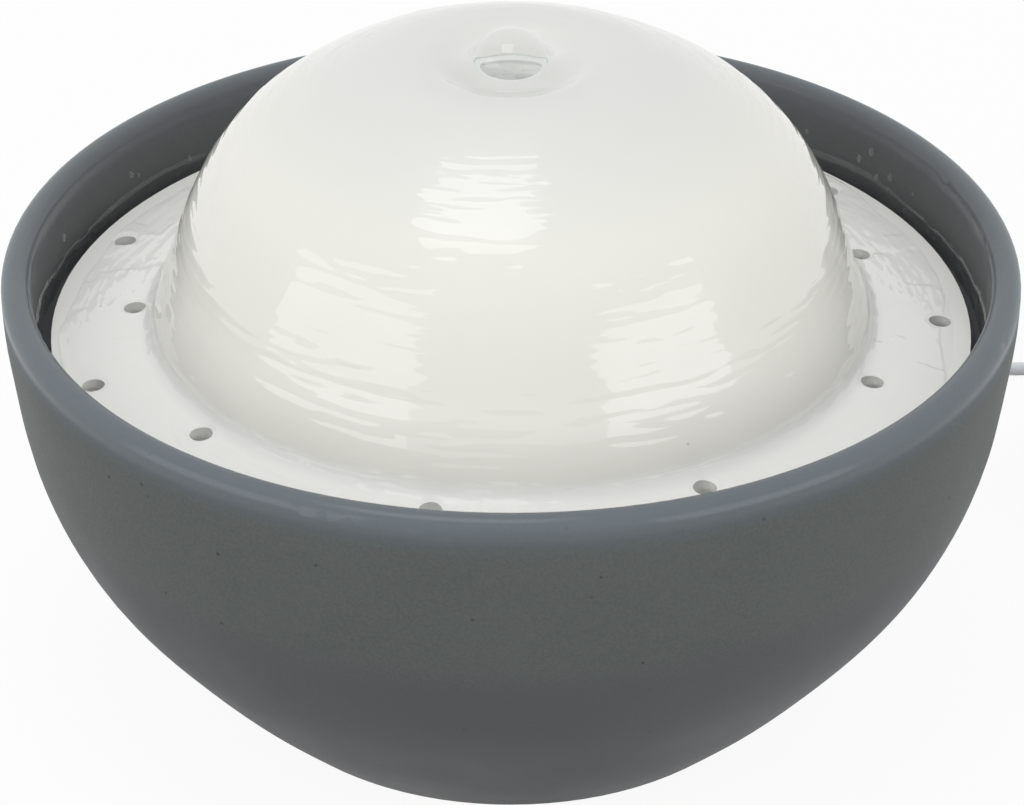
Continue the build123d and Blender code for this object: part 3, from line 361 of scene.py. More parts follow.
finishes = {
    stoneware_glaze(): ["bowl"],
    porcelain_glaze(): ["fountain_dome"],
    # Liquid silicone, moulded grey: matte and a little dusty, with a skin as fine as flour
    moulded("moulded_grey_silicone", "#b3b6b8", 0.62, 0.5, 0.02, 0.06): ["foot_pads", "cable_grommet"],
    # Liquid silicone, moulded grey-green: matte, seen wet through the water
    moulded("moulded_grey_green_silicone", "#dfe3e0", 0.5, 0.6, 0.02, 0.05): ["outlet_sleeve"],
    # Extruded PVC hose, drawn clear: glassy, with the faintest green in its wall
    clear_body("extruded_clear_pvc", 1.45, 0.03, "#f2f8f5"): ["riser_tube"],
    # Polypropylene from a lightly blasted mould: a waxy satin white
    moulded("moulded_white_polypropylene", "#e4e4e1", 0.42, 0.35, 0.012, 0.03): ["pump_chamber", "chamber_lid"],
    # Unpigmented polypropylene from a polished mould: milky, a little translucent grey
    moulded("moulded_natural_polypropylene", "#dcdee0", 0.36, 0.6, 0.01, 0.05):
        ["filter_frame", "coil_bobbin", "impeller"],
    fleece_finish: ["filter_fleece"],
    granules(): ["carbon_fill"],
    # ABS from a spark-eroded mould: black with a fine even pebble that breaks the gloss
    moulded("moulded_black_abs", "#26272a", 0.45, 0.45, 0.03, 0.10):
        ["pump_housing", "motor_end_cap", "impeller_cover", "strainer_cover"],
    # Nitrile rubber, pressed: black, dull and a little bloomed
    moulded("pressed_black_nitrile", "#252525", 0.7, 0.7, 0.03, 0.12, tint="#37393a"):
        ["suction_cups", "pump_gland", "shaft_bushes", "cover_seal"],
    # Silicon steel, punched and stacked: dull grey edges, half a millimetre apart
    ridged("stacked_silicon_steel", "#8e8f92", "#4a4743", 0.5, 0.06, "X", 0.38): ["stator_core"],
    # Enamelled copper wire, machine wound: bright orange-brown turns of 0.35 mm, with painted shade in the grooves
    # between
    ridged("wound_enamelled_copper", "#c8763c", "#5a2d16", 0.35, 0.09, "Y", 0.25): ["coil_winding"],
    # Sintered ferrite, ground: nearly black grey, dense and stony
    moulded("ground_sintered_ferrite", "#47474a", 0.5, 0.25, 0.02, 0.10): ["rotor_magnet"],
    # Alumina, centreless ground: ivory white with a silky gloss
    moulded("ground_alumina", "#ece9e0", 0.22, 0.2, 0.004, 0.02): ["impeller_shaft"],
    # Blue polypropylene from a fine blasted mould: a plain signal blue, satin
    moulded("moulded_blue_polypropylene", "#3a74b4", 0.4, 0.4, 0.015, 0.06): ["flow_dial"],
    cord_pvc: ["pump_lead", "power_cord", "cord_coil", "cord_tail", "adapter_gland"],
    # Polyethylene strap, moulded white: waxy, with a slight ripple from its teeth
    moulded("moulded_white_strap", "#e4e4e1", 0.45, 1.2, 0.06, 0.04): ["cord_tie"],
    # ABS from a spark-eroded mould: white, an even fine pebble of about 0.6 mm
    moulded("moulded_white_abs", "#e2e3e3", 0.48, 0.6, 0.035, 0.02): ["adapter_case", "adapter_cover"],
    # Glass-epoxy board under green solder mask: smooth, with the weave just showing
    moulded("glass_epoxy_board", "#1f6b45", 0.3, 0.8, 0.01, 0.12): ["adapter_board"],
    # Silicon steel, stacked and varnished: dark grey edges half a millimetre apart, under a dull gloss
    ridged("varnished_transformer_steel", "#77777a", "#3b3936", 0.5, 0.06, "Z", 0.42): ["adapter_transformer"],
    # Brass pins, turned and nickel plated: warm silver with fine turning lines
    ridged("nickel_plated_brass", "#cfccc2", "#a19c8f", 0.25, 0.006, "Y", 0.22): ["adapter_pins"],
}
for finish, names in finishes.items():
    for name in names:
        for slot in nodes[name].material_slots:
            slot.material = finish
bare = sorted(set(nodes) - {name for names in finishes.values() for name in names})
if bare:
    raise ValueError(f"no finish for {bare}")

# ---------------------------------------------------------------- cords
grommet_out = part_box("cable_grommet")[1][1]


def cord_along(name, points):
    """A round cord whose line is a smooth spline with these control points."""
    curve = bpy.data.curves.new(name, "CURVE")
    curve.dimensions = "3D"
    spline = curve.splines.new("NURBS")
    spline.points.add(len(points) - 1)
    for control, point in zip(spline.points, points):
        control.co = (*point, 1)
    spline.order_u = 3
    spline.use_endpoint_u = True
    spline.resolution_u = 8
    curve.bevel_depth = cord_radius
    curve.bevel_resolution = 4
    curve.use_fill_caps = True
    return link(name, curve, cord_pvc)


def coil_turns():
    """The spare cord's turns: four inwards on the floor, then back outwards on top of them."""
    centre, outer, pitch, low = (0.198, 0.190), 0.02955, 0.0043, 0.0029
    first, last, count = -75, 2700, 124  # the angles of its ends in degrees, and the steps between them
    step = radians((last - first) / count)
    spread = 1 / (0.75 + 0.25 * cos(step))  # the spline runs inside its control points by this share
    turns = []
    for i in range(count + 1):
        angle = first + (last - first) * i / count
        passed = (angle + 115) / 360  # turns since the place where each one steps to the next
        place = floor(passed) - 1 + min(1, (passed - floor(passed)) * 12)
        rise = ramp(place, 3, 4)
        radius = outer - pitch * (7 - place if place >= 4 else min(place, 3)) - 0.0015 * sin(pi * rise)
        turns.append((centre[0] + radius * spread * cos(radians(angle)),
                      centre[1] + radius * spread * sin(radians(angle)), low + pitch * rise))
    return turns


def ribbed_relief_tree():
    """A tapered strain relief with ribs moulded round it, along Y: a grid whose first and last rows close its ends."""
    tree, given = start_tree(
        "ribbed strain relief", Vector="Start", Float="Length, Thick radius, Thin radius, Ribs, Rib depth",
        Int="Columns, Rows", Material="Finish")
    grid, row, angle = turned_grid(tree, given["Columns"], given["Rows"])
    last = add(tree, "Math", {0: given["Rows"], 1: 1.0}, operation="SUBTRACT")
    inner_last = add(tree, "Math", {0: given["Rows"], 1: 2.0}, operation="SUBTRACT")
    along = add(tree, "MapRange", {0: row, 1: 1.0, 2: inner_last})
    cone = add(tree, "MapRange", {0: along, 3: given["Thick radius"], 4: given["Thin radius"]})
    phase = add(tree, "Math", {0: along, 1: given["Ribs"]}, operation="MULTIPLY")
    wave = add(tree, "Math", {0: phase, 1: tau}, operation="MULTIPLY")
    groove = add(tree, "Math", {0: wave}, operation="COSINE")
    cut = add(tree, "MapRange", {0: groove, 1: -0.2, 2: -0.75, 4: given["Rib depth"]}, **eased)
    ribbed = add(tree, "Math", {0: cone, 1: cut}, operation="SUBTRACT")
    after_first = add(tree, "Math", {0: row, 1: 0.5}, operation="GREATER_THAN")
    before_last = add(tree, "Math", {0: row, 1: last}, operation="LESS_THAN")
    inside = add(tree, "Math", {0: after_first, 1: before_last}, operation="MULTIPLY")
    radius = add(tree, "Math", {0: ribbed, 1: inside}, operation="MULTIPLY")
    reach = add(tree, "Math", {0: along, 1: given["Length"]}, operation="MULTIPLY")
    spot = add(tree, "CombineXYZ", {0: radius, 1: reach})
    swung = add(tree, "VectorRotate", {"Vector": spot, "Angle": angle}, rotation_type="Y_AXIS")
    place = add(tree, "VectorMath", {0: swung, 1: given["Start"]}, operation="ADD")
    placed = add(tree, "GeometryNodeSetPosition", {"Geometry": grid, "Position": place})
    closed = add(tree, "GeometryNodeMergeByDistance", {"Geometry": placed, "Distance": 1e-6})
    return end_tree(tree, closed, {"Material": given["Finish"]})


relief_low, relief_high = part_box("adapter_gland")
relief = made_by(
    ribbed_relief_tree(), "adapter_relief", start=(adapter_x, relief_low.y, adapter_z),
    length=relief_high.y - relief_low.y, thick_radius=4.15 * mm, thin_radius=2.9 * mm, ribs=4.0,
    rib_depth=0.55 * mm, columns=40, rows=60, finish=cord_pvc)
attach(relief, "base")
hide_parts("adapter_gland")

power_cord = cord_along("power_cord_run", [
    (0, grommet_out, cable_z), (0, 0.150, cable_z), (0.003, 0.168, 0.082), (0.008, 0.180, 0.064),
    (0.014, 0.187, 0.042), (0.024, 0.190, 0.021), (0.040, 0.190, 0.007), (0.058, 0.182, table_z),
    (0.090, 0.168, table_z), (0.122, 0.157, table_z), (0.150, 0.1527, table_z), (0.178602, 0.15421, table_z),
    *coil_turns(),
    (0.1687, 0.171, 0.0076), (0.1715, 0.155, 0.010), (adapter_x, 0.140, adapter_z), (adapter_x, 0.1202, adapter_z)])
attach(power_cord, "base")
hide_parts("power_cord", "cord_coil", "cord_tail")

pump_lead = cord_along("pump_lead_run", [
    (0, 0.046, 0.0335), (0, 0.068, 0.0335), (0, 0.082, 0.044), (0, 0.091, 0.060), (0, 0.097, 0.078),
    (0, 0.110, cable_z), (0, grommet_out, cable_z)])
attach(pump_lead, "base")
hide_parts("pump_lead")

# ---------------------------------------------------------------- water
dome_mesh = bmesh.new()
dome_mesh.from_mesh(nodes["fountain_dome"].data)
dome_shape = BVHTree.FromBMesh(dome_mesh)
dome_mesh.free()


def glazed_profile(first_degree, last_degree, count):
    """Points on the glazed top by their tilt at a point on the axis, on a line that passes between the drains."""
    centre, far = Vector((0, 0, 0.060)), 0.3
    spots = []
    for i in range(count):
        tilt = radians(first_degree + (last_degree - first_degree) * i / (count - 1))
        ray = Vector((sin(tilt) * cos(clear_bearing), sin(tilt) * sin(clear_bearing), cos(tilt)))
        hit = dome_shape.ray_cast(centre + ray * far, -ray)[0]
        spots.append(Vector((Vector(hit.xy).length, 0, hit.z)))
    return spots


def smoothed(points, rounds):
    """The same line with its bends softened: each round moves every point towards its neighbours."""
    for _ in range(rounds):
        points = [points[0]] + [(a + 2 * b + c) / 4 for a, b, c in zip(points, points[1:], points[2:])] + [points[-1]]
    return points


def evenly(points, spacing):
    """The same line with its points the same distance apart."""
    steps = [(b - a).length for a, b in zip(points, points[1:])]
    total = sum(steps)
    count = max(2, round(total / spacing) + 1)
    line, i, passed = [], 0, 0.0
    for k in range(count):
        target = total * k / (count - 1)
        while i < len(steps) - 1 and passed + steps[i] < target:
            passed += steps[i]
            i += 1
        share = (target - passed) / steps[i] if steps[i] else 0
        line.append(points[i].lerp(points[i + 1], min(1, share)))
    return line


def profile_object(name, rows):
    """The rows of a film's profile. Each has its place, its outward direction, its distance along the film, the film's
    thickness there, and its shares of the rings, folds and terraces."""
    mesh = bpy.data.meshes.new(name)
    mesh.from_pydata([row["place"] for row in rows], [(i, i + 1) for i in range(len(rows) - 1)], [])
    for key in ("out", "shares"):
        layer = mesh.attributes.new(key, "FLOAT_VECTOR", "POINT")
        for i, row in enumerate(rows):
            layer.data[i].vector = row[key]
    for key in ("along", "thick"):
        layer = mesh.attributes.new(key, "FLOAT", "POINT")
        for i, row in enumerate(rows):
            layer.data[i].value = row[key]
    return bpy.data.objects.new(name, mesh)


# Thicknesses that mark the rows of a film's hidden underside, and those round the bubbly core
under_film, under_core = -1.0, -2.0


def water_sheet_tree():
    """A closed film of water on a turned surface: rows of a profile swung round the upright axis, lifted by rings,
    swells, folds and terraces, ended at its own wandering edge and drawn down into the drains."""
    tree, given = start_tree(
        "water sheet", Object="Profile, Drains", Int="Columns", Material="Finish, Core",
        Float="Ring spacing, Ring length, Ring height, Wave length, Wave height, Side share, Swell size, Swell height, "
              "Fold size, Fold height, Terrace size, Terrace height, Terrace edge, Edge radius, Edge wander, "
              "Edge width, Drain radius, Dip, Seed")
    seeded = {"W": given["Seed"]}

    profile = add(tree, "GeometryNodeObjectInfo", {"Object": given["Profile"]}).outputs["Geometry"]
    points = add(tree, "GeometryNodeAttributeDomainSize", {"Geometry": profile}, component="MESH")
    grid, row, angle = turned_grid(tree, given["Columns"], points.outputs["Point Count"])

    sampled = {}
    for key, kind in (("position", "FLOAT_VECTOR"), ("out", "FLOAT_VECTOR"), ("shares", "FLOAT_VECTOR"),
                      ("along", "FLOAT"), ("thick", "FLOAT")):
        value = add(tree, "GeometryNodeInputPosition") if key == "position" else \
            add(tree, "GeometryNodeInputNamedAttribute", {"Name": key}, data_type=kind)
        sampled[key] = add(tree, "GeometryNodeSampleIndex", {"Geometry": profile, "Value": value, "Index": row},
                           data_type=kind).outputs[0]
    swung = add(tree, "VectorRotate", {"Vector": sampled["position"], "Angle": angle},
                rotation_type="Z_AXIS").outputs[0]
    outward = add(tree, "VectorRotate", {"Vector": sampled["out"], "Angle": angle},
                  rotation_type="Z_AXIS").outputs[0]
    flat = add(tree, "SeparateXYZ", {0: swung}).outputs
    flow = add(tree, "CombineXYZ", {0: flat[0], 1: flat[1], 2: sampled["along"]})
    parts = add(tree, "SeparateXYZ", {0: sampled["shares"]}).outputs
    side = add(tree, "VectorMath", {0: swung, 1: (1, 1, 0)}, operation="MULTIPLY")
    side_way = add(tree, "VectorMath", {0: side}, operation="NORMALIZE")
    side_x = add(tree, "SeparateXYZ", {0: side_way})
    sideness = add(tree, "Math", {0: side_x}, operation="ABSOLUTE")

    # rings across the flow: long round the dome, short down it, and calmer at its left and right
    ring_size = add(tree, "CombineXYZ", {0: given["Ring length"], 1: given["Ring length"], 2: given["Ring spacing"]})
    ring_spot = add(tree, "VectorMath", {0: flow, 1: ring_size}, operation="DIVIDE")
    ring_noise = add(tree, "TexNoise", {"Vector": ring_spot, "Scale": 1.0, "Detail": 1.6, **seeded},
                     noise_dimensions="4D")
    rings = add(tree, "MapRange", {0: ring_noise, 3: -1.0}, clamp=False)
    calmer = add(tree, "MapRange", {0: sideness, 1: 0.55, 2: 0.90, 3: 1.0, 4: given["Side share"]}, **eased)

    # low waves between the rings, evenly spaced
    wave_turn = add(tree, "Math", {0: sampled["along"], 1: given["Wave length"]}, operation="DIVIDE")
    wave_bend = add(tree, "Math", {0: rings, 1: 1.6}, operation="MULTIPLY")
    wave_spot = add(tree, "Math", {0: wave_turn, 1: wave_bend}, operation="ADD")
    wave_angle = add(tree, "Math", {0: wave_spot, 1: tau}, operation="MULTIPLY")
    waves = add(tree, "Math", {0: wave_angle}, operation="SINE")

    # slow swells
    swell_scale = add(tree, "Math", {0: 1.0, 1: given["Swell size"]}, operation="DIVIDE")
    swell_noise = add(tree, "TexNoise", {"Vector": swung, "Scale": swell_scale, "Detail": 1.0, **seeded},
                      noise_dimensions="4D")
    swells = add(tree, "MapRange", {0: swell_noise, 3: -1.0}, clamp=False)

    # folds that hang down the flow, at the left and right of the dome only
    at_side = add(tree, "MapRange", {0: sideness, 1: 0.72, 2: 0.95}, **eased)
    fold_size = add(tree, "CombineXYZ", {0: given["Fold size"], 1: given["Fold size"], 2: 45 * mm})
    fold_spot = add(tree, "VectorMath", {0: flow, 1: fold_size}, operation="DIVIDE")
    fold_noise = add(tree, "TexNoise", {"Vector": fold_spot, "Scale": 1.0, "Detail": 0.0, **seeded},
                     noise_dimensions="4D")
    folds = add(tree, "MapRange", {0: fold_noise, 1: 0.42, 2: 0.66}, **eased)

    # terraces: where a thicker sheet ends on a thinner one, with a wandering step
    terrace_scale = add(tree, "Math", {0: 1.0, 1: given["Terrace size"]}, operation="DIVIDE")
    terrace_noise = add(tree, "TexNoise", {"Vector": swung, "Scale": terrace_scale, "Detail": 1.5, **seeded},
                        noise_dimensions="4D")
    terraces = add(tree, "MapRange", {0: terrace_noise, 1: 0.50, 2: given["Terrace edge"]}, **eased)

    film = sampled["thick"]
    for pattern, *limits in ((rings, given["Ring height"], parts[0], calmer), (waves, given["Wave height"], parts[0]),
                             (swells, given["Swell height"]), (folds, given["Fold height"], at_side, parts[1]),
                             (terraces, given["Terrace height"], parts[2])):
        for limit in limits:
            pattern = add(tree, "Math", {0: pattern, 1: limit}, operation="MULTIPLY")
        film = add(tree, "Math", {0: film, 1: pattern}, operation="ADD")
    film = add(tree, "Math", {0: film, 1: 0.12 * mm}, operation="MAXIMUM")

    # the film ends at its own edge, which wanders, and lies under the glaze beyond it
    wander_spot = add(tree, "VectorMath", {0: side_way, 3: 0.03}, operation="SCALE")
    wander_noise = add(tree, "TexNoise", {"Vector": wander_spot, "Scale": 75.0, "Detail": 1.5, **seeded},
                       noise_dimensions="4D")
    wander = add(tree, "MapRange", {0: wander_noise, 1: 0.25, 2: 0.75, 3: -1.0, 4: 1.0}, clamp=False)
    edge_shift = add(tree, "Math", {0: wander, 1: given["Edge wander"], 2: given["Edge radius"]},
                     operation="MULTIPLY_ADD")
    reach = add(tree, "VectorMath", {0: side}, operation="LENGTH").outputs["Value"]
    inside = add(tree, "Math", {0: edge_shift, 1: reach}, operation="SUBTRACT")
    inside_share = add(tree, "Math", {0: inside, 1: given["Edge width"]}, operation="DIVIDE")
    wet = add(tree, "MapRange", {0: inside_share}, **eased)
    edged = add(tree, "Mix", {0: wet, 2: -0.25 * mm, 3: film}, data_type="FLOAT")

    # each drain draws the water down, and holds it a little under its own mouth
    drains = add(tree, "GeometryNodeObjectInfo", {"Object": given["Drains"]}).outputs["Geometry"]
    near = add(tree, "GeometryNodeProximity", {0: drains, "Sample Position": side}, target_element="POINTS")
    near_share = add(tree, "Math", {0: near.outputs["Distance"], 1: given["Drain radius"]}, operation="DIVIDE")
    clear_of = add(tree, "MapRange", {0: near_share, 1: 0.75, 2: 1.35}, **eased)
    sunk = add(tree, "Math", {0: given["Dip"], 1: -1.0}, operation="MULTIPLY")
    drained = add(tree, "Mix", {0: clear_of, 2: sunk, 3: edged}, data_type="FLOAT")

    # only the film's top has all this: its underside is hidden in the ceramic
    on_top = add(tree, "Math", {0: sampled["thick"], 1: 0.0}, operation="GREATER_THAN")
    lift = add(tree, "Mix", {0: on_top, 2: 0.0, 3: drained}, data_type="FLOAT")
    offset = add(tree, "VectorMath", {0: outward, 3: lift}, operation="SCALE")
    place = add(tree, "VectorMath", {0: swung, 1: offset}, operation="ADD")
    in_core = add(tree, "Math", {0: sampled["thick"], 1: (under_film + under_core) / 2}, operation="LESS_THAN")
    marked = add(tree, "GeometryNodeStoreNamedAttribute",
                 {"Geometry": grid, "Name": "core", "Value": in_core}, data_type="FLOAT", domain="POINT")
    placed = add(tree, "GeometryNodeSetPosition", {"Geometry": marked, "Position": place})
    closed = add(tree, "GeometryNodeMergeByDistance", {"Geometry": placed, "Distance": 1e-6})
    outside = add(tree, "GeometryNodeFlipFaces", {0: closed})
    kept = add(tree, "GeometryNodeInputNamedAttribute", {"Name": "core"}, data_type="FLOAT")
    cored = add(tree, "Math", {0: kept, 1: 0.5}, operation="GREATER_THAN")
    return end_tree(tree, outside, {"Material": given["Finish"]}, {"Material": given["Core"], "Selection": cored})


def rows_of(points, thick=lambda p: under_film, shares=lambda p: (0, 0, 0), sunk=lambda p: 0.0):
    """Profile rows, with each point's outward direction to the left of the way the profile runs. A sheet's end can be
    sunk into the ceramic, so that it slides under the next sheet. Without a thickness they are an underside."""
    rows, along = [], 0.0
    for i, point in enumerate(points):
        before, after = points[max(i - 1, 0)], points[min(i + 1, len(points) - 1)]
        way = (after - before).normalized()
        if i:
            along += (point - points[i - 1]).length
        out = Vector((0, 0, 1)) if point.x == 0 else Vector((-way.z, 0, way.x))
        rows.append({"place": point - out * sunk(point), "out": out, "along": along,
                     "thick": thick(point), "shares": shares(point)})
    return rows


drain_mesh = bpy.data.meshes.new("drain_places")
drain_spots = [(radius, radians(first + 360 / drains_in_ring * i))
               for radius, first in drain_rings for i in range(drains_in_ring)]
drain_mesh.from_pydata([(radius * cos(angle), radius * sin(angle), 0) for radius, angle in drain_spots], [], [])
drain_places = bpy.data.objects.new("drain_places", drain_mesh)

sheet_tree = water_sheet_tree()

# The dome's film: the bell over the outlet, the pool in the crater, and the sheet down to the foot. The points of the
# bell and the pool are radius and height in mm.
bell = [Vector((r * mm, 0, z * mm)) for r, z in [
    (0, 192.9), (1.5, 192.8), (3.0, 192.5), (4.5, 191.95), (6.0, 191.15), (7.3, 190.1), (8.4, 188.8), (9.2, 187.4),
    (9.8, 186.1), (10.7, 185.0), (12.2, 184.2), (14.0, 183.7), (16.0, 183.4), (17.6, 183.45), (19.2, 183.95),
    (20.8, 184.7), (22.6, 185.2), (24.8, 185.4)]]
pool_edge, dome_foot = 0.0265, 0.1114  # the radius and the height between which the film follows the glaze
glazed = [p for p in glazed_profile(12, 67.5, 260) if p.x > pool_edge and p.z > dome_foot]
outer_line = evenly(smoothed(evenly(bell + glazed, 0.7 * mm), 5), 0.62 * mm)


def dome_film_thickness(point):
    """Full thickness on the dome, none added to the bell and the pool, whose profile is the water's own."""
    share = ramp(point.x, 0.022, 0.046)
    return (0.02 + 0.40 * share * share * (3 - 2 * share)) * mm


def dome_shares(point):
    """Rings from the crown down, fewer at the foot. Folds on the flank. Terraces towards the foot."""
    crown, flank = 0.186, 0.076
    down = (crown - point.z) / flank
    rings = ramp(down, 0.02, 0.14) * (1 - 0.55 * ramp(down, 0.66, 0.84))
    folds = ramp(down, 0.25, 0.50) * ramp(down, 1.02, 0.90)
    return max(0.06, rings), folds, ramp(down, 0.55, 0.70)


top_rows = rows_of(outer_line, dome_film_thickness, dome_shares,
                   sunk=lambda p: 1.1 * mm * ramp(p.z, 0.1140, 0.1118))
under_line = [outer_line[-1] + Vector((-0.0005, 0, -0.0020))]
under_line += [p + Vector((-1.0, 0, -0.7)) * mm for p in reversed(evenly(glazed, 4 * mm)) if p.z > 0.1150]
under_line += [Vector((r * mm, 0, z * mm)) for r, z in [
    (20.5, 183.0), (16, 180.9), (9, 180.5), (6.6, 180.45), (6.35, 180.1), (6.35, 177.6), (4.7, 177.5), (4.7, 172),
    (0, 172)]]
core_top, core_reach = 0.1802, 0.00638
under_rows = rows_of(under_line, lambda p: under_core if p.z < core_top and p.x < core_reach else under_film)
dome_water = made_by(
    sheet_tree, "dome_water", profile=profile_object("dome_film", top_rows + under_rows), drains=drain_places,
    columns=270, ring_spacing=2.4 * mm, ring_length=20 * mm, ring_height=0.60 * mm, wave_length=2.9 * mm,
    wave_height=0.036 * mm, side_share=0.35, swell_size=24 * mm, swell_height=0.12 * mm, fold_size=13 * mm,
    fold_height=0.20 * mm, terrace_size=26 * mm, terrace_height=0.22 * mm, terrace_edge=0.56, edge_radius=0.2,
    edge_width=1.5 * mm, drain_radius=0.1 * mm, seed=3.0, finish=water, core=aerated_water)
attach(dome_water, "dome")

# The flange's film: from under the dome's film outwards, with the drains in it
foot_top, film_edge, film_floor, film_inside = 0.1170, 0.1212, 0.1046, 0.0962
foot = smoothed(glazed_profile(58.0, 69.0, 170), 4)
flange_line = evenly([p for p in foot if p.z < foot_top and p.x < film_edge], 0.46 * mm)
flange_rows = rows_of(flange_line, lambda p: (0.42 + 0.20 * ramp(p.z, 0.1102, 0.1132)) * mm, lambda p: (1, 0, 1),
                      sunk=lambda p: 1.9 * mm * ramp(p.z, 0.1130, 0.1168))
deep_rows = rows_of([Vector((radius, 0, film_floor)) for radius in (film_edge, 0.110, film_inside)])
flange_water = made_by(
    sheet_tree, "flange_water", profile=profile_object("flange_film", flange_rows + deep_rows + [flange_rows[0]]),
    drains=drain_places, columns=1200, ring_spacing=2.3 * mm, ring_length=9 * mm, ring_height=0.32 * mm,
    wave_length=2.2 * mm, wave_height=0.035 * mm, side_share=1.0, swell_size=13 * mm, swell_height=0.42 * mm,
    terrace_size=24 * mm, terrace_height=0.26 * mm, terrace_edge=0.520, edge_radius=0.1195, edge_wander=0.0050,
    edge_width=1.3 * mm, drain_radius=drain_radius, dip=1.7 * mm, seed=8.0, finish=thin_water, core=thin_water)
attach(flange_water, "dome")

# The wall above the ledge is wet as well, up to a wandering line
wall_radius, wall_lean = 0.1267, 0.00038 / 0.014  # at the ledge, and how much wider it gets with height
wall_foot, wet_height, wall_steps = 0.1036, 0.0116, 18
wall_line = [Vector((wall_radius + wall_lean * (i / wall_steps) * 0.0111, 0, wall_foot + wet_height * i / wall_steps))
             for i in range(wall_steps + 1)]
wall_rows = rows_of(wall_line, lambda p: 0.45 * mm, lambda p: (0, 0, 1))
behind_rows = rows_of([Vector((0.1281, 0, wall_foot + wet_height)), Vector((0.1280, 0, wall_foot))])
wall_water = made_by(
    sheet_tree, "wall_water", profile=profile_object("wall_film", wall_rows + behind_rows + [wall_rows[0]]),
    drains=drain_places, columns=520, side_share=1.0, swell_size=7 * mm, swell_height=0.45 * mm,
    terrace_size=12 * mm, terrace_height=0.25 * mm, terrace_edge=0.56, edge_radius=wall_radius + wall_lean * 0.0066,
    edge_wander=wall_lean * 0.0026, edge_width=wall_lean * 0.0014, drain_radius=0.1 * mm, seed=5.0, finish=water,
    core=water)
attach(wall_water, "base")


def drops_tree():
    """Drops that cling to an upright wall, flattened against it, more of them low down."""
    tree, given = start_tree(
        "clinging drops", Int="Count, Seed", Material="Finish",
        Float="First angle, Last angle, Low, High, Wall radius, Lean, Smallest, Largest")
    angle = add(tree, "FunctionNodeRandomValue",
                {2: given["First angle"], 3: given["Last angle"], "Seed": given["Seed"]}, data_type="FLOAT").outputs[1]
    seed = add(tree, "Math", {0: given["Seed"], 1: 7.0}, operation="ADD")
    chance = add(tree, "FunctionNodeRandomValue", {2: 0.0, 3: 1.0, "Seed": seed}, data_type="FLOAT").outputs[1]
    gathered = add(tree, "Math", {0: chance, 1: 1.8}, operation="POWER")
    height = add(tree, "MapRange", {0: gathered, 3: given["Low"], 4: given["High"]})
    above = add(tree, "Math", {0: height, 1: given["Low"]}, operation="SUBTRACT")
    radius = add(tree, "Math", {0: above, 1: given["Lean"], 2: given["Wall radius"]}, operation="MULTIPLY_ADD")
    spot = add(tree, "CombineXYZ", {0: radius, 2: height})
    place = add(tree, "VectorRotate", {"Vector": spot, "Angle": angle}, rotation_type="Z_AXIS")
    points = add(tree, "GeometryNodePoints", {"Count": given["Count"], "Position": place})
    turn = add(tree, "CombineXYZ", {2: angle})
    size = add(tree, "FunctionNodeRandomValue", {2: given["Smallest"], 3: given["Largest"], "Seed": 5},
               data_type="FLOAT").outputs[1]
    longer = add(tree, "Math", {0: size, 1: 1.35}, operation="MULTIPLY")
    flatter = add(tree, "Math", {0: size, 1: 0.55}, operation="MULTIPLY")
    scale = add(tree, "CombineXYZ", {0: flatter, 1: size, 2: longer})
    drop = add(tree, "GeometryNodeMeshIcoSphere", {"Radius": 1.0, "Subdivisions": 3})
    drops = add(tree, "GeometryNodeInstanceOnPoints",
                {"Points": points, "Instance": drop, "Rotation": turn, "Scale": scale})
    return end_tree(tree, drops, {"Material": given["Finish"]})


wall_drops = made_by(
    drops_tree(), "wall_drops", count=34, first_angle=radians(8), last_angle=radians(172), low=0.1045, high=0.1200,
    wall_radius=wall_radius, lean=wall_lean, smallest=0.5 * mm, largest=1.3 * mm, seed=4, finish=drop_water)
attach(wall_drops, "base")
for helper in ("dome_film", "flange_film", "wall_film", "drain_places"):
    bpy.data.objects.remove(bpy.data.objects[helper])

# ---------------------------------------------------------------- the filter's fleece
fleece_low, fleece_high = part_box("filter_fleece")


def fleece_pad():
    """The fleece pad: two crowned faces of needled fibre, thinner at the punched edge, with sides that pull in."""
    wide, tall = 44, 42  # the squares of its grid
    edge_share, pull, tuft_height, clearance = 0.52, 0.9 * mm, 0.30 * mm, 0.02 * mm
    half = (fleece_high - fleece_low) / 2
    middle = (fleece_high + fleece_low) / 2
    pad = bmesh.new()

    def at_rim(i, k):
        return i in (0, wide) or k in (0, tall)

    def spot(i, k, side):
        u, v = 2 * i / wide - 1, 2 * k / tall - 1
        crown = (edge_share + (1 - edge_share) * (1 - abs(u) ** 5) * (1 - abs(v) ** 5)) * half.y
        pulled_x, pulled_z = pull * (1 - v * v) * abs(u) ** 3, pull * (1 - u * u) * abs(v) ** 3
        place = Vector((u * half.x - copysign(pulled_x, u), 0, v * half.z - copysign(pulled_z, v)))
        tuft = noise.noise(Vector((place.x, side * 9 * mm, place.z)) * 260) * tuft_height
        place.y = 0.0 if at_rim(i, k) else side * min(half.y - clearance, crown + tuft)
        return middle + place

    sheets = {}
    for side in (-1, 1):
        for i in range(wide + 1):
            for k in range(tall + 1):
                key = (i, k, 0 if at_rim(i, k) else side)
                if key not in sheets:
                    sheets[key] = pad.verts.new(spot(i, k, side))
        for i in range(wide):
            for k in range(tall):
                corners = (i, k), (i + 1, k), (i + 1, k + 1), (i, k + 1)
                pad.faces.new([sheets[(*corner, 0 if at_rim(*corner) else side)] for corner in corners])
    bmesh.ops.recalc_face_normals(pad, faces=pad.faces)
    for face in pad.faces:
        face.smooth = True
    mesh = bpy.data.meshes.new("fleece_pad")
    pad.to_mesh(mesh)
    pad.free()
    return link("fleece_pad", mesh, fleece_finish)


pad_piece = fleece_pad()
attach(pad_piece, "cartridge")
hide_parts("filter_fleece")


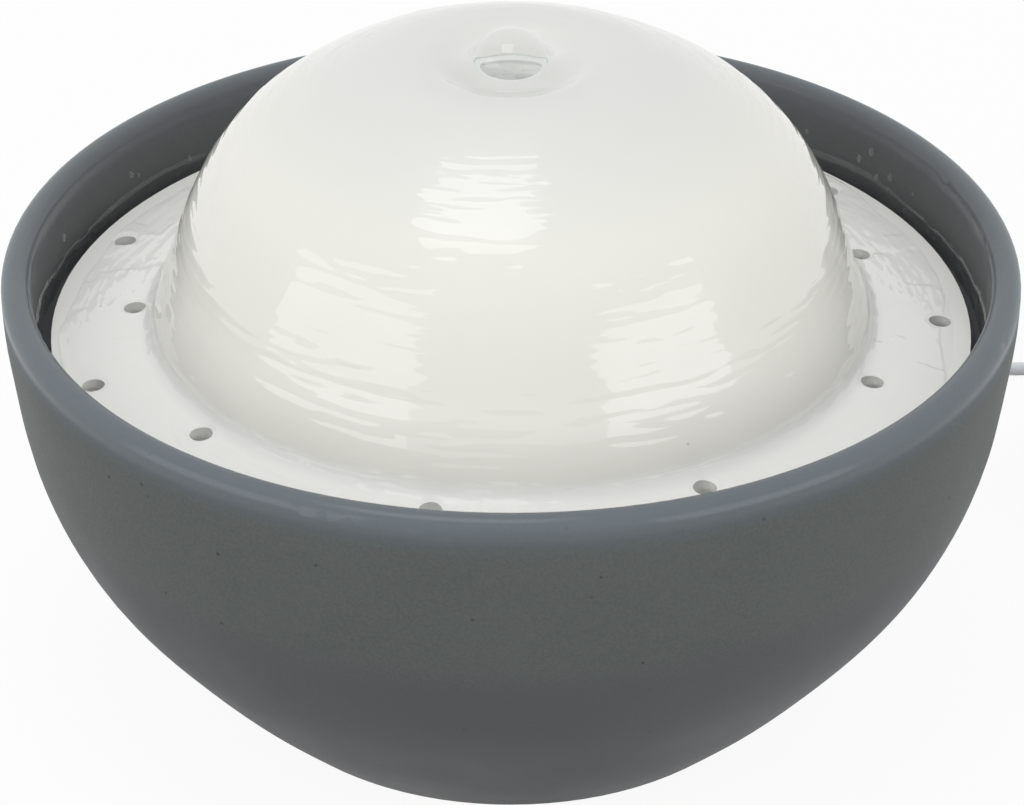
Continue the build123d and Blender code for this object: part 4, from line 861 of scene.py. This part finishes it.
# ---------------------------------------------------------------- lights, floor and background
def softbox(name, azimuth, elevation, distance, width, height, power, aim=Vector((0, 0, 0.13))):
    """A soft lamp that looks at the object and isn't seen itself: azimuth 0 is in front of it, 90 to its right."""
    lamp = bpy.data.lights.new(name, "AREA")
    lamp.shape = "RECTANGLE"
    lamp.size, lamp.size_y, lamp.energy = width, height, power
    box = bpy.data.objects.new(name, lamp)
    a, e = radians(azimuth), radians(elevation)
    way = Vector((sin(a) * cos(e), -cos(a) * cos(e), sin(e)))
    box.location = aim + way * distance
    box.rotation_euler = way.to_track_quat("Z", "Y").to_euler()
    box.visible_camera = False
    scene.collection.objects.link(box)


# One lamp nearly overhead, a little in front of the object and left of it, and a low wide one on either side
softbox("overhead_softbox", -8, 78.5, 1.05, 0.50, 0.54, 1.74, aim=Vector((-0.12, 0.075, 0.13)))
softbox("left_softbox", -56, 16.3, 1.2, 1.16, 0.75, 3.9)
softbox("right_softbox", 50, 11, 1.2, 0.92, 0.70, 3.45)


def seen_rays(tree):
    """1 for what the camera sees, also mirrored or through the water, and 0 for what only lights the object."""
    rays = add(tree, "LightPath").outputs
    seen = rays["Is Camera Ray"]
    for kind in ("Is Glossy Ray", "Is Transmission Ray"):
        seen = add(tree, "Math", {0: seen, 1: rays[kind]}, operation="MAXIMUM")
    return seen


world = bpy.data.worlds.new("studio")
scene.world = world
world.use_nodes = True
world.node_tree.nodes.clear()
strength = add(world.node_tree, "MapRange", {0: seen_rays(world.node_tree), 3: 0.72, 4: 1.0})
sky = add(world.node_tree, "Background", {0: linear("#ffffff"), 1: strength})
add(world.node_tree, "OutputWorld", {0: sky})

# Matte white paper: it glows where it is seen, so that it stays white, and lights the object like pale grey card
paper, paper_tree = start_material("white_backdrop_paper")
seen = seen_rays(paper_tree)
glow = add(paper_tree, "Math", {0: seen, 1: 0.92}, operation="MULTIPLY")
tone = add(paper_tree, "Mix", {0: seen, 6: linear("#a8a8a8"), 7: linear("#fbfbfb")}, data_type="RGBA")
matte = add(paper_tree, "BsdfDiffuse", {0: tone.outputs[2]})
white = add(paper_tree, "Emission", {0: linear("#ffffff"), 1: 1.0})
sheet = add(paper_tree, "MixShader", {0: glow, 1: matte, 2: white})
add(paper_tree, "OutputMaterial", {0: sheet})
floor_mesh = bpy.data.meshes.new("floor")
floor_mesh.from_pydata([(-4, -4, 0), (4, -4, 0), (4, 4, 0), (-4, 4, 0)], [], [(0, 1, 2, 3)])
floor_sheet = link("floor", floor_mesh, paper)

scene.view_settings.view_transform = "Standard"
